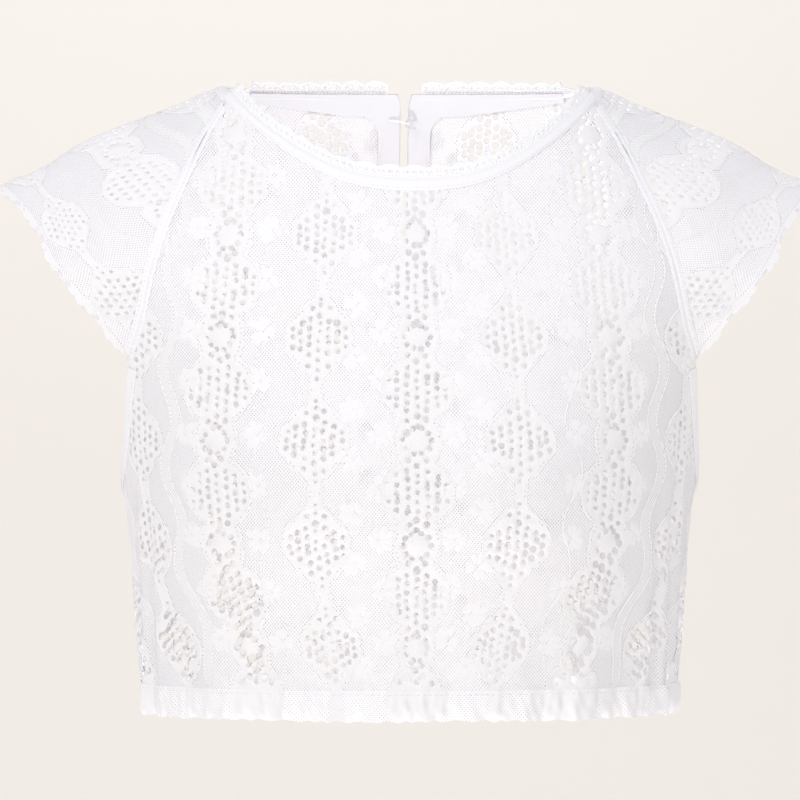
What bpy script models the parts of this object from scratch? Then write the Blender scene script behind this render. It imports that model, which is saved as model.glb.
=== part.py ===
"""White lace blouse with raglan cap sleeves, as it stands when worn with no wearer in it.

Run with: blender --background --python part.py
Units are metres, +Z up. The front faces -Y and the wearer's left side is at +X.
The origin is in the middle of the neck opening, at the height where the blouse hangs on the shoulders.
"""

import math

import bmesh
import bpy
import numpy as np
from mathutils import Vector
from mathutils.bvhtree import BVHTree
from mathutils.geometry import delaunay_2d_cdt

# Cloth
WALL = 0.0012
TAPE = 0.0010
GAP = 0.0003
ON_WALL = WALL / 2 + GAP + TAPE / 2

# Torso sections, each half an ellipse in front and half an ellipse behind
# Columns: height, half width, front depth, back depth
SECTIONS = np.array([
    (-0.3265, 0.1380, 0.0945, 0.0930),
    (-0.3115, 0.1395, 0.0960, 0.0940),
    (-0.2900, 0.1415, 0.0990, 0.0955),
    (-0.2600, 0.1442, 0.1040, 0.0970),
    (-0.2250, 0.1482, 0.1120, 0.0990),
    (-0.2030, 0.1520, 0.1150, 0.1005),
    (-0.1650, 0.1590, 0.1140, 0.1020),
    (-0.1300, 0.1680, 0.1100, 0.1010),
    (-0.1060, 0.1720, 0.1050, 0.0990),
    (-0.0880, 0.1690, 0.0990, 0.0965),
    (-0.0670, 0.1610, 0.0905, 0.0930),
    (-0.0470, 0.1470, 0.0800, 0.0870),
    (-0.0240, 0.1265, 0.0660, 0.0780),
    (0.0000, 0.1020, 0.0500, 0.0670),
    (0.0160, 0.0830, 0.0400, 0.0590),
])
HEM_Z = -0.3265
CASING_TOP_Z = -0.3115
UNDERARM_Z = -0.2030

# Soft fullness of the cups, above and below the fold line of the bust
CUP_X = 0.0620
CUP_Z = -0.2050
CUP_DEPTH = 0.0090
CUP_WIDTH = 0.0380
CUP_HEIGHT = 0.0420

# Neck edge
NECK_FRONT_DROP = 0.0470
NECK_BACK_RISE = 0.0040
NECK_CURVE = 2.6
NECK_FRONT_HALF = 0.0920
NECK_BACK_HALF = 0.0860
NECK_BACK_SEAM_Z = 0.0030

# Raglan seam and armhole edge, the same in front and behind
# Columns: height, distance from the middle of the blouse
SEAM = np.array([
    (0.0000, 0.0920),
    (-0.0240, 0.1060),
    (-0.0470, 0.1170),
    (-0.0670, 0.1258),
    (-0.0880, 0.1330),
    (-0.1065, 0.1373),
    (-0.1230, 0.1410),
    (-0.1410, 0.1468),
    (-0.1530, 0.1482),
    (-0.1650, 0.1490),
    (-0.1800, 0.1499),
    (-0.1900, 0.1508),
    (-0.1970, 0.1514),
    (-0.2010, 0.1517),
])
SLEEVE_CORNER_Z = -0.1410
SEAM_ROOM = 0.0006

# Outer edge of the sleeve, from its corner at the armhole up to the tip
# Columns: distance from the middle, distance to the front or back, height
SLEEVE_EDGE = np.array([
    (0.1480, 0.0520, -0.1410),
    (0.1585, 0.0580, -0.1270),
    (0.1690, 0.0590, -0.1130),
    (0.1810, 0.0550, -0.0990),
    (0.1900, 0.0470, -0.0850),
    (0.1960, 0.0360, -0.0710),
    (0.2060, 0.0230, -0.0585),
    (0.2135, 0.0100, -0.0505),
    (0.2155, 0.0000, -0.0490),
])
SLEEVE_LONG = 0.1350
SHOULDER_BOW = (0.0045, 0.0, 0.0015)
SEAM_LEAN = 0.75
SEAM_LEAN_REACH = 0.15
SLEEVE_CROWN = 0.0068
BORDER_RUN = 0.05
SCALLOP_PITCH = 0.0075
SCALLOP_DEPTH = 0.0016
WAVE_PITCH = 0.0265
WAVE_DEPTH = 0.0024

# Rows of the sleeve's mesh as shares of its length, and columns round it
SLEEVE_ROWS = (0.0, 0.15, 0.30, 0.45, 0.60, 0.74, 0.86, 0.94)
SLEEVE_COLUMNS = 24
BORDER_STEPS = 5
SLEEVE_HOLE_ROWS = (3, 5)
SLEEVE_HOLE_SHARE = 0.62

# Slit at the middle of the back
SLIT_HALF = 0.0020
SLIT_TOP_HALF = 0.0036
SLIT_FLARE = 0.0080
SLIT_BOTTOM_Z = -0.0950

# Lace columns: their spacing round the body, and the height of one repeat
COLUMN_SPACING = 0.0500
REPEAT = 0.0530
FIRST_REPEAT_Z = -0.0500
# How far the cloth's stretch spreads the columns, as a share of their spacing, by height
SPREAD_Z = (-0.3265, -0.3000, -0.2730, -0.2360, -0.1880, -0.1000, -0.0300)
SPREAD = (0.820, 0.850, 0.930, 1.050, 1.085, 1.000, 0.935)
HOLE_RADIUS = 0.0023
HOLE_PITCH = 0.0066
HOLE_SIDES = 6
HOLE_MARGIN = 0.0100

# Trims
TRIM_INSET = 0.0006
RAGLAN_TAPE = 0.0070
RAGLAN_LIFT = ON_WALL + 0.0002
TAPE_START = 0.0028
TAPE_END_SHARE = 0.985
TAPE_SLOPE = 0.25
SEAM_PACE = 1.2
SLEEVE_LEAST = 0.0300
BINDING = 0.0072
BINDING_LIFT = ON_WALL + 0.0004
BINDING_START = 0.0030
BINDING_SLOPE = 0.35
NECK_BAND = 0.0070
BAND_TOP = 0.0008
BAND_LIFT = ON_WALL + 0.0001
BAND_LEAN = 0.75
BAND_LEVEL = 0.45
EDGING_FOOT = 0.0005
EDGING_HEIGHT = 0.0072
EDGING_SCALLOP = 0.0020
EDGING_PITCH = 0.0125
EDGING_STEPS = 5
EDGING_END = 0.0095
FACING_DEPTH = ON_WALL + 0.0001
FACING_TALL = 0.0120
FACING_NARROW = 0.0050
FACING_SLIT = 0.0130
FACING_ROUND = 0.0100
FACING_TURN_X = 0.0340
FACING_END_X = 0.0840
FACING_FOOT = 0.0150
CASING_WALL = 0.0022
CASING_FULL = 0.0009
CASING_COLUMNS = 68
GATHERS = 26
GATHER_DEPTH = 0.0011
GATHER_REACH = 0.0350

# Closure, hooked together inside the back
HOOK_Z = -0.0120
HOOK_WIRE = 0.0005
LOOP_WIRE = 0.0006
HOOK_CLEAR = 0.0009
# Rows: distance from the middle, distance further in, height above HOOK_Z
HOOK_PATH = (
    (-0.0085, 0.0000, 0.0012),
    (-0.0045, 0.0000, 0.0012),
    (0.0010, 0.0000, 0.0010),
    (0.0024, 0.0006, 0.0000),
    (0.0024, 0.0024, 0.0000),
    (0.0008, 0.0030, 0.0000),
    (-0.0010, 0.0030, 0.0000),
)
LOOP_MIDDLE = (0.0040, 0.0015, -0.0002)
LOOP_HALF_WIDE = 0.0034
LOOP_HALF_TALL = 0.0030
LOOP_TURN = 0.72 * math.pi
LOOP_FOOT = (0.0062, 0.0004)

# Mesh spacing
GRID = 0.0220
HEM_GRID = 0.0110
HEM_GRID_REACH = 0.0120
HEM_COLUMNS = 52
FACING_GRID = 0.0080
FACING_GRID_MARGIN = 0.0028
CURVE_STEPS = 201
EDGE_STEPS = 240

WHITE = (0.93, 0.93, 0.95)
METAL = (0.78, 0.78, 0.80)


def clear_scene():
    for obj in list(bpy.data.objects):
        bpy.data.objects.remove(obj)


def make_collection(name):
    collection = bpy.data.collections.new(name)
    bpy.context.scene.collection.children.link(collection)
    return collection


def make_material(name, color, roughness, metallic=0.0):
    material = bpy.data.materials.new(name)
    material.use_nodes = True
    shader = material.node_tree.nodes["Principled BSDF"]
    shader.inputs["Base Color"].default_value = (*color, 1.0)
    shader.inputs["Roughness"].default_value = roughness
    shader.inputs["Metallic"].default_value = metallic
    return material


clear_scene()
BLOUSE = make_collection("lace_blouse")
LACE = make_material("white_lace", WHITE, 0.85)
EDGING = make_material("white_edging", WHITE, 0.80)
SMOOTH_TAPE = make_material("white_tape", WHITE, 0.70)
THREAD = make_material("white_thread", WHITE, 0.75)
WIRE = make_material("closure_wire", METAL, 0.35, 1.0)


# Smooth curves through the tables


def through(xs, ys, x):
    """A smooth curve through the points (xs, ys), with xs rising, read at x."""
    slopes = np.gradient(ys, xs)
    x = np.clip(x, xs[0], xs[-1])
    i = np.clip(np.searchsorted(xs, x) - 1, 0, len(xs) - 2)
    step = xs[i + 1] - xs[i]
    t = (x - xs[i]) / step
    near = (1 + 2 * t) * (1 - t) ** 2 * ys[i] + t * (1 - t) ** 2 * step * slopes[i]
    far = t * t * (3 - 2 * t) * ys[i + 1] + t * t * (t - 1) * step * slopes[i + 1]
    return near + far


def section(z, back):
    """Half width and depth of the torso's section at height z."""
    depth = 3 if back else 2
    return (
        through(SECTIONS[:, 0], SECTIONS[:, 1], z),
        through(SECTIONS[:, 0], SECTIONS[:, depth], z),
    )


def quarter(z, back):
    """Length round the body from the middle to the side seam at height z."""
    half, depth = section(z, back)
    return (half + depth) / 2 * math.pi / 2


def gathers(s, z):
    """How far the gathers over the hem's elastic push the cloth out."""
    fade = np.clip(1 - (z - HEM_Z) / GATHER_REACH, 0, 1)
    turn = s / quarter(HEM_Z, False)
    wave = np.sin(turn * GATHERS / 4 * 2 * math.pi + 1.3 * np.sin(turn * 5.0))
    return GATHER_DEPTH * fade * fade * wave


def torso(s, z, back=False, out=0.0):
    """Points of the cloth at the distance s round the body from the middle, at height z."""
    s = np.asarray(s, float)
    z = np.asarray(z, float)
    half, depth = section(z, back)
    mean = (half + depth) / 2
    angle = s / mean - (half - depth) / (4 * mean) * np.sin(2 * s / mean)
    push = out + gathers(s, z)
    x = (half + push) * np.sin(angle)
    y = (depth + push) * np.cos(angle)
    if not back:
        cups = np.exp(-(((x - CUP_X) / CUP_WIDTH) ** 2) / 2)
        cups = cups + np.exp(-(((x + CUP_X) / CUP_WIDTH) ** 2) / 2)
        y = y + CUP_DEPTH * cups * np.exp(-(((z - CUP_Z) / CUP_HEIGHT) ** 2) / 2)
    return np.stack([x, y if back else -y, z + 0 * x], axis=-1)


def around(x, z, back):
    """The distance round the body at which the section at height z is x from the middle."""
    half, depth = section(z, back)
    angle = np.arcsin(np.clip(x / half, -1, 1))
    return (half + depth) / 2 * angle + (half - depth) / 4 * np.sin(2 * angle)


def seam_x(z):
    """How far from the middle the raglan seam or armhole edge lies at height z."""
    return through(SEAM[::-1, 0], SEAM[::-1, 1], z)


def neck_z(x, back):
    """Height of the neck edge at x."""
    if back:
        share = np.clip(np.abs(x) / NECK_BACK_HALF, 0, 1)
        return NECK_BACK_RISE + (NECK_BACK_SEAM_Z - NECK_BACK_RISE) * share**2
    share = np.clip(np.abs(x) / NECK_FRONT_HALF, 0, 1)
    return -NECK_FRONT_DROP * (1 - share**NECK_CURVE)


# Edges of the front and back panels, as rows of (s, z)


def neck_edge(back, count):
    """From the right raglan seam to the left one."""
    reach = NECK_BACK_HALF if back else NECK_FRONT_HALF
    x = reach * np.sin(np.linspace(-math.pi / 2, math.pi / 2, count))
    z = neck_z(x, back)
    return np.stack([around(x, z, back), z], axis=1)


def seam_edge(back, count):
    """Down the left raglan seam and armhole to the side seam."""
    top = NECK_BACK_SEAM_Z if back else 0.0
    z = np.linspace(top, SEAM[-1, 0], count)
    x = seam_x(np.minimum(z, 0.0))
    if back:
        above = NECK_BACK_HALF + (SEAM[0, 1] - NECK_BACK_HALF) * (top - z) / top
        x = np.where(z > 0, above, x)
    edge = np.stack([around(x, z, back), z], axis=1)
    return np.vstack([edge, [(quarter(UNDERARM_Z, back), UNDERARM_Z)]])


def side_edge(back, count):
    z = np.linspace(UNDERARM_Z, HEM_Z, count)
    return np.stack([quarter(z, back), z], axis=1)


def inset(outline, distance):
    """The outline moved in by a distance, going round it anticlockwise or clockwise alike."""
    ahead = np.roll(outline, -1, axis=0) - outline
    ahead = ahead / np.linalg.norm(ahead, axis=1)[:, None]
    across = np.stack([-ahead[:, 1], ahead[:, 0]], axis=1)
    following = np.roll(outline, -1, axis=0)
    area = np.sum(outline[:, 0] * following[:, 1] - following[:, 0] * outline[:, 1])
    across = across * np.sign(area)
    corner = across + np.roll(across, 1, axis=0)
    corner = corner / np.maximum(np.sum(corner * across, axis=1), 0.3)[:, None]
    return outline + distance * corner


def inside(points, polygon):
    """Which of the points lie inside the polygon."""
    x = points[:, 0][:, None]
    y = points[:, 1][:, None]
    x0, y0 = polygon[:, 0], polygon[:, 1]
    x1, y1 = np.roll(x0, -1), np.roll(y0, -1)
    crosses = (y0 > y) != (y1 > y)
    with np.errstate(divide="ignore", invalid="ignore"):
        at = x0 + (y - y0) / (y1 - y0) * (x1 - x0)
    return (crosses & (x < at)).sum(axis=1) % 2 == 1


def edge_distance(points, polygon):
    """Distance of each point from the polygon's nearest edge."""
    a = polygon[None]
    d = np.roll(polygon, -1, axis=0)[None] - a
    p = points[:, None] - a
    t = np.clip((p * d).sum(-1) / np.maximum((d * d).sum(-1), 1e-18), 0, 1)
    return np.linalg.norm(p - t[..., None] * d, axis=-1).min(axis=1)


def triangulate(outline, holes, fill, thin_out=True):
    """Triangles of a flat panel with its holes left out, through its fill points."""
    keep = np.ones(len(fill), bool)
    if thin_out:
        keep = inside(fill, outline) & (edge_distance(fill, outline) > GRID * 0.3)
    for hole in holes:
        middle = hole.mean(axis=0)
        keep &= np.linalg.norm(fill - middle, axis=1) > HOLE_RADIUS + GRID * 0.16
    rings = [outline, *holes, fill[keep]]
    points = np.vstack(rings)
    edges = []
    start = 0
    for ring in rings[:-1]:
        count = len(ring)
        edges += [(start + i, start + (i + 1) % count) for i in range(count)]
        start += count
    flat, _, faces, _, _, _ = delaunay_2d_cdt([Vector(p) for p in points], edges, [], 0, 1e-7)
    flat = np.array([tuple(p) for p in flat])
    faces = np.array(faces)
    middles = flat[faces].mean(axis=1)
    solid = inside(middles, outline)
    for hole in holes:
        solid &= ~inside(middles, hole)
    return flat, faces[solid]


def fill_points(outline, spacing, fine_below=None, fine=None):
    """Staggered points over the outline's box, closer together below a height."""
    low, high = outline.min(axis=0), outline.max(axis=0)
    rows = []
    z = low[1] + spacing / 3
    row = 0
    while z < high[1]:
        near_hem = fine_below is not None and z < fine_below
        step = fine if near_hem else spacing
        x = np.arange(-math.ceil(-low[0] / step) * step, high[0], step) + step / 2 * (row % 2)
        rows.append(np.stack([x, np.full_like(x, z)], axis=1))
        z += spacing * (0.5 if near_hem else 0.87)
        row += 1
    return np.vstack(rows)


def add_object(name, points, faces, material):
    mesh = bpy.data.meshes.new(name)
    mesh.from_pydata([tuple(p) for p in points], [], [tuple(int(i) for i in f) for f in faces])
    mesh.validate()
    mesh.shade_smooth()
    mesh.set_sharp_from_angle(angle=math.radians(40))
    rim = {key: 0 for key in mesh.edge_keys}
    for polygon in mesh.polygons:
        for key in polygon.edge_keys:
            rim[key] += 1
    for edge in mesh.edges:
        if rim[edge.key] == 1:
            edge.use_edge_sharp = True
    obj = bpy.data.objects.new(name, mesh)
    obj.data.materials.append(material)
    BLOUSE.objects.link(obj)
    return obj


def face_out(obj, center):
    """Turns the faces of an open sheet away from a point inside the blouse."""
    work = bmesh.new()
    work.from_mesh(obj.data)
    bmesh.ops.remove_doubles(work, verts=work.verts, dist=1e-6)
    bmesh.ops.recalc_face_normals(work, faces=work.faces)
    lean = sum(f.normal.dot(f.calc_center_median() - Vector(center)) for f in work.faces)
    if lean < 0:
        bmesh.ops.reverse_faces(work, faces=work.faces)
    work.to_mesh(obj.data)
    work.free()


def add_shell(name, points, faces, material, wall, center=(0.0, 0.0, -0.15)):
    """A sheet of cloth with a wall, its sheet in the middle of the wall."""
    obj = add_object(name, points, faces, material)
    face_out(obj, center)
    solidify = obj.modifiers.new("wall", "SOLIDIFY")
    solidify.thickness = wall
    solidify.offset = 0.0
    return obj


# Lace: which gaps are wide enough to be cut through the wall


def lace_points(column, steps):
    """Places (s, z) of a medallion's widest gaps, from hole steps across and up."""
    places = []
    repeat = 0
    while FIRST_REPEAT_Z - repeat * REPEAT > HEM_Z:
        middle_z = FIRST_REPEAT_Z - repeat * REPEAT - (REPEAT / 2 if column % 2 else 0.0)
        for across, up in steps:
            z = middle_z + up * HOLE_PITCH
            s = (column * COLUMN_SPACING + across * HOLE_PITCH) * np.interp(z, SPREAD_Z, SPREAD)
            places.append((s, z))
        repeat += 1
    return places


# Hole steps across and up from a medallion's middle
EVEN_STEPS = ((-1.0, 0.0), (1.0, 0.0), (0.0, 1.0), (0.0, -1.0))
ODD_STEPS = ((-0.6, 0.0), (0.6, 0.0))
SIDE_STEPS = ((-0.6, 0.5), (0.6, 0.5), (0.0, -0.5), (0.0, 1.5))


def body_holes(outline):
    """Outlines of the gaps cut through a body panel."""
    places = []
    for column in range(-2, 3):
        if column % 2:
            steps = ODD_STEPS
        elif abs(column) == 2:
            steps = SIDE_STEPS
        else:
            steps = EVEN_STEPS
        places += lace_points(column, steps)
    places = np.array(places)
    wide = inside(places, outline) & (edge_distance(places, outline) > HOLE_MARGIN)
    turn = np.arange(HOLE_SIDES) * 2 * math.pi / HOLE_SIDES + math.pi / 2
    ring = HOLE_RADIUS * np.stack([np.cos(turn), np.sin(turn)], axis=1)
    return [place + ring for place in places[wide]]


def body_outline(back):
    """The panel's edge round from the right shoulder, anticlockwise seen from outside."""
    seam = seam_edge(back, 14)
    side = side_edge(back, 8)
    left = np.vstack([seam, side[1:]])
    left = left[left[:, 1] > CASING_TOP_Z + GAP]
    bottom_s = quarter(CASING_TOP_Z + GAP, back)
    left = np.vstack([left, [(bottom_s, CASING_TOP_Z + GAP)]])
    hem_s = np.linspace(bottom_s, -bottom_s, HEM_COLUMNS + 1)[1:-1]
    hem = np.stack([hem_s, np.full_like(hem_s, CASING_TOP_Z + GAP)], axis=1)
    right = left[::-1] * (-1, 1)
    neck = neck_edge(back, 17)[1:-1]
    if back:
        slit_z = np.linspace(NECK_BACK_RISE, SLIT_BOTTOM_Z, 8)
        flare_z = [NECK_BACK_RISE - SLIT_FLARE, NECK_BACK_RISE]
        half = np.interp(slit_z, flare_z, [SLIT_HALF, SLIT_TOP_HALF])
        down = np.stack([-half, slit_z], axis=1)
        up = down[::-1] * (-1, 1)
        foot = [(0.0, SLIT_BOTTOM_Z - SLIT_HALF)]
        clear = np.abs(neck[:, 0]) > 2 * SLIT_TOP_HALF
        before = neck[clear & (neck[:, 0] < 0)]
        after = neck[clear & (neck[:, 0] > 0)]
        neck = np.vstack([before, down, foot, up, after])
    outline = np.vstack([left, hem, right, neck])
    return inset(outline, GAP / 2)


def body_panel(name, back):
    outline = body_outline(back)
    holes = body_holes(outline)
    fill = fill_points(outline, GRID, CASING_TOP_Z + HEM_GRID_REACH, HEM_GRID)
    flat, faces = triangulate(outline, holes, fill)
    return add_shell(name, torso(flat[:, 0], flat[:, 1], back), faces, LACE, WALL)


# Sleeves


def resample(curve, count):
    """The curve's points again, evenly spaced along it."""
    steps = np.linalg.norm(np.diff(curve, axis=0), axis=1)
    along = np.concatenate([[0], np.cumsum(steps)])
    at = np.linspace(0, along[-1], count)
    return np.stack([np.interp(at, along, curve[:, i]) for i in range(3)], axis=1)


def seam_curve(back, bottom=SLEEVE_CORNER_Z):
    """Points down the left raglan seam, from the neck to a height."""
    top = NECK_BACK_SEAM_Z if back else 0.0
    z = np.linspace(top, bottom, 60)
    edge = seam_edge(back, EDGE_STEPS)
    s = np.interp(-z, -edge[:-1, 1], edge[:-1, 0])
    return torso(s, z, back)


def sleeve_edge_curve():
    """Points along the left sleeve's outer edge, from its front corner over the tip to the back."""
    front = SLEEVE_EDGE * (1, -1, 1)
    keys = np.vstack([front, SLEEVE_EDGE[::-1][1:]])
    number = np.arange(len(keys), dtype=float)
    at = np.linspace(0, number[-1], EDGE_STEPS)
    return np.stack([through(number, keys[:, i], at) for i in range(3)], axis=1)


def neck_over_shoulder():
    """Points of the left sleeve's neck edge, front to back."""
    front = seam_curve(False)[0]
    back = seam_curve(True)[0]
    t = np.linspace(0, 1, 30)[:, None]
    return front + (back - front) * t + 4 * t * (1 - t) * np.array(SHOULDER_BOW)


SLEEVE_FRONT = resample(seam_curve(False), CURVE_STEPS)
SLEEVE_BACK = resample(seam_curve(True), CURVE_STEPS)
SLEEVE_NECK = resample(neck_over_shoulder(), CURVE_STEPS)
SLEEVE_OUT = resample(sleeve_edge_curve(), CURVE_STEPS)


def read_curve(curve, t):
    at = np.linspace(0, 1, len(curve))
    return np.stack([np.interp(t, at, curve[:, i]) for i in range(3)], axis=-1)


def patch(down, round_it):
    """Points between the left sleeve's four edges, with down 0 at the neck.

    round_it is 0 at the front seam and 1 at the back seam.
    """
    d = np.asarray(down, float)[..., None]
    t = np.asarray(round_it, float)[..., None]
    front = read_curve(SLEEVE_FRONT, d[..., 0])
    back = read_curve(SLEEVE_BACK, d[..., 0])
    neck = read_curve(SLEEVE_NECK, t[..., 0])
    edge = read_curve(SLEEVE_OUT, t[..., 0])
    across = (1 - t) * front + t * back
    along = (1 - d) * neck + d * edge
    corners = (1 - d) * ((1 - t) * SLEEVE_NECK[0] + t * SLEEVE_NECK[-1])
    corners = corners + d * ((1 - t) * SLEEVE_OUT[0] + t * SLEEVE_OUT[-1])
    return across + along - corners


def seam_lean(back):
    """What the patch lacks, along a raglan seam, to leave it in line with the body panel."""
    top = NECK_BACK_SEAM_Z if back else 0.0
    z = np.linspace(top, SLEEVE_CORNER_Z, CURVE_STEPS)
    edge = seam_edge(back, EDGE_STEPS)
    s = np.interp(-z, -edge[:-1, 1], edge[:-1, 0])
    run = np.stack([np.gradient(s), np.gradient(z)], axis=1)
    run = run / np.linalg.norm(run, axis=1)[:, None]
    step = 0.002
    past = torso(s - run[:, 1] * step, z + run[:, 0] * step, back) - torso(s, z, back)
    past = past / np.linalg.norm(past, axis=1)[:, None]
    down = np.linspace(0, 1, CURVE_STEPS)
    at = np.full(CURVE_STEPS, 1.0 if back else 0.0)
    near = np.abs(at - 0.001)
    slope = (patch(down, near) - patch(down, at)) / 0.001
    speed = np.linalg.norm(slope, axis=1)[:, None]
    return past * speed - slope


LEAN_FRONT = seam_lean(False)
LEAN_BACK = seam_lean(True)


def sleeve_within(down, round_it):
    """Points of the left sleeve between its edges, in line with the body at the seams."""
    d = np.asarray(down, float)[..., None]
    t = np.asarray(round_it, float)[..., None]
    share = SEAM_LEAN * np.clip(d / SEAM_LEAN_REACH, 0, 1) * (1 - d**3)
    front = read_curve(LEAN_FRONT, d[..., 0])
    back = read_curve(LEAN_BACK, d[..., 0])
    bend = share * (t * (1 - t) ** 2 * front + t * t * (1 - t) * back)
    swell = np.sin(math.pi * d**1.6) * 4 * t * (1 - t)
    crown = SLEEVE_CROWN * swell * np.array([0.3, 0.0, 1.0])
    return patch(down, round_it) + bend + crown


def sleeve_points(down, round_it, side=1):
    """Points of a sleeve, with down 0 at the neck and 1 at the plain line of the border.

    round_it is 0 at the front seam and 1 at the back seam. Past 1 the cloth runs straight on.
    """
    down = np.asarray(down, float)
    border = np.ones_like(down)
    ahead = sleeve_within(border, round_it) - sleeve_within(border - BORDER_RUN, round_it)
    past = np.maximum(down - 1, 0)[..., None] / BORDER_RUN
    return (sleeve_within(np.minimum(down, 1), round_it) + past * ahead) * (side, 1, 1)


def edge_wave(t):
    """How far the scalloped border reaches past its plain line, as a share of the sleeve's length."""
    length = np.linalg.norm(np.diff(SLEEVE_OUT, axis=0), axis=1).sum()
    small = np.abs(np.sin(math.pi * t * round(length / SCALLOP_PITCH)))
    large = 0.5 - 0.5 * np.cos(2 * math.pi * t * round(length / WAVE_PITCH))
    return (SCALLOP_DEPTH * small + WAVE_DEPTH * large) / SLEEVE_LONG


def sleeve(name, side):
    """The sleeve's sheet, with rows down the arm and more columns at its scalloped border."""
    across = SLEEVE_COLUMNS
    border = across * BORDER_STEPS
    last = len(SLEEVE_ROWS) - 1
    points = []
    index = {}
    for r, d in enumerate(SLEEVE_ROWS):
        for c in range(across + 1):
            index[r, c] = len(points)
            points.append((d, c / across))
    for c in range(border + 1):
        t = c / border
        index[last + 1, c] = len(points)
        points.append((1.0 + edge_wave(t) * min(1, 14 * t, 14 * (1 - t)), t))
    faces = []
    for r in range(last):
        for c in range(across):
            corners = (index[r, c], index[r, c + 1], index[r + 1, c + 1], index[r + 1, c])
            if r in SLEEVE_HOLE_ROWS and c % 6 in (1, 4) and 2 < c < across - 3:
                faces += ring_round_hole(points, corners)
            else:
                faces.append(corners)
    middle = (BORDER_STEPS + 1) // 2
    for c in range(across):
        a, b = index[last, c], index[last, c + 1]
        low = [index[last + 1, c * BORDER_STEPS + i] for i in range(BORDER_STEPS + 1)]
        faces += [(a, low[i + 1], low[i]) for i in range(middle)]
        faces += [(a, b, low[middle])]
        faces += [(b, low[i + 1], low[i]) for i in range(middle, BORDER_STEPS)]
    flat = np.array(points)
    top_of_arm = sleeve_points(flat[:, 0], np.full(len(flat), 0.5))
    on_seam = sleeve_points(flat[:, 0], np.zeros(len(flat)))
    seam_in = SEAM_ROOM / (2 * np.linalg.norm(top_of_arm - on_seam, axis=1))
    flat[:, 1] = seam_in + flat[:, 1] * (1 - 2 * seam_in)
    sheet = sleeve_points(flat[:, 0], flat[:, 1], side)
    return add_shell(name, sheet, faces, LACE, WALL, (side * 0.13, 0.0, -0.12))


def ring_round_hole(points, corners):
    """Faces between a cell's corners and a diamond gap in its middle, whose points it adds."""
    middle = np.mean([points[i] for i in corners], axis=0)
    start = len(points)
    for i in range(4):
        edge = (np.array(points[corners[i]]) + np.array(points[corners[(i + 1) % 4]])) / 2
        points.append(tuple(middle + (edge - middle) * SLEEVE_HOLE_SHARE))
    faces = []
    for i in range(4):
        before = start + (i - 1) % 4
        faces.append((corners[i], corners[(i + 1) % 4], start + i))
        faces.append((corners[i], start + i, before))
    return faces


# Tapes and bindings lie on the outside of the cloth, facings on its inside


def laid_inside(panel, points):
    """The points moved onto a panel's own sheet, and then in from it for a facing."""
    corners = [v.co.copy() for v in panel.data.vertices]
    tree = BVHTree.FromPolygons(corners, [tuple(p.vertices) for p in panel.data.polygons])
    moved = []
    for point in points:
        place, normal, _, _ = tree.find_nearest(Vector(point))
        moved.append(place - normal * FACING_DEPTH)
    return moved


def strip(name, rows, material, wall, center):
    """A shell from rows of points, each row across the strip."""
    count = len(rows[0])
    points = [p for row in rows for p in row]
    faces = []
    for r in range(len(rows) - 1):
        for c in range(count - 1):
            a = r * count + c
            faces.append((a, a + 1, a + count + 1, a + count))
    return add_shell(name, points, faces, material, wall, center)


def lay(name, rows, lift, center):
    """Moves a strip's points out from the cloth under them and makes it a tape."""
    grid = np.array(rows)
    ahead = np.gradient(grid, axis=0)
    across = np.gradient(grid, axis=1)
    out = np.cross(ahead, across)
    out = out / np.linalg.norm(out, axis=2)[..., None]
    if np.sum(out * (grid - np.array(center))) < 0:
        out = -out
    grid = grid + out * lift
    return strip(name, list(grid), SMOOTH_TAPE, TAPE, center)


def raglan_tape(name, back, side):
    """A tape along a raglan seam: half of it on the body panel and half on the sleeve."""
    seam = resample(seam_curve(back), CURVE_STEPS)
    length = np.linalg.norm(np.diff(seam, axis=0), axis=1).sum()
    rows = []
    for share in np.linspace((NECK_BAND + TAPE_START) / length, TAPE_END_SHARE, 15):
        on_seam = read_curve(seam, share)
        z = on_seam[2]
        s_seam = around(on_seam[0], z, back)
        row = []
        for part in (1.0, 0.5):
            s = s_seam - part * RAGLAN_TAPE / 2
            row.append(torso(s, z - part * RAGLAN_TAPE * TAPE_SLOPE, back))
        row.append(on_seam)
        reach = np.linalg.norm(sleeve_points(share, 0.5) - on_seam) * 2 / SEAM_PACE
        half_turn = RAGLAN_TAPE / 2 / max(reach, SLEEVE_LEAST)
        for part in (0.5, 1.0):
            turn = 1.0 - part * half_turn if back else part * half_turn
            row.append(sleeve_points(share, turn))
        rows.append(np.array(row) * (side, 1, 1))
    return lay(name, rows, RAGLAN_LIFT, (side * 0.06, 0.0, -0.12))


def binding(name, side):
    """The binding under the arm, from the sleeve's front corner down and up to its back corner."""
    widths = (TRIM_INSET, BINDING / 2, BINDING)
    top_z = SLEEVE_CORNER_Z - BINDING_START
    heights = top_z + (SEAM[-1, 0] - top_z) * np.sin(np.linspace(0, math.pi / 2, 9))
    bottom = quarter(UNDERARM_Z, False)
    rows = []
    for back, order in ((False, 1), (True, -1)):
        part = []
        for height in heights:
            s = around(seam_x(height), height, back)
            part.append([torso(s - w, height - BINDING_SLOPE * w, back) for w in widths])
        rows += part[::order]
        if not back:
            rows.append([torso(bottom, UNDERARM_Z - w, False) for w in widths])
    rows = [np.array(row) * (side, 1, 1) for row in rows]
    return lay(name, rows, BINDING_LIFT, (side * 0.06, 0.0, -0.19))


def neck_path(count_front, count_side):
    """Places along the neck edge, from the right back seam round the front to the left back seam."""
    steps = []
    for t in np.linspace(1, 0, count_side)[:-1]:
        steps.append(("sleeve", -1, t))
    for share in np.linspace(-1, 1, count_front):
        steps.append(("front", 0, share))
    for t in np.linspace(0, 1, count_side)[1:]:
        steps.append(("sleeve", 1, t))
    return steps


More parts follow.
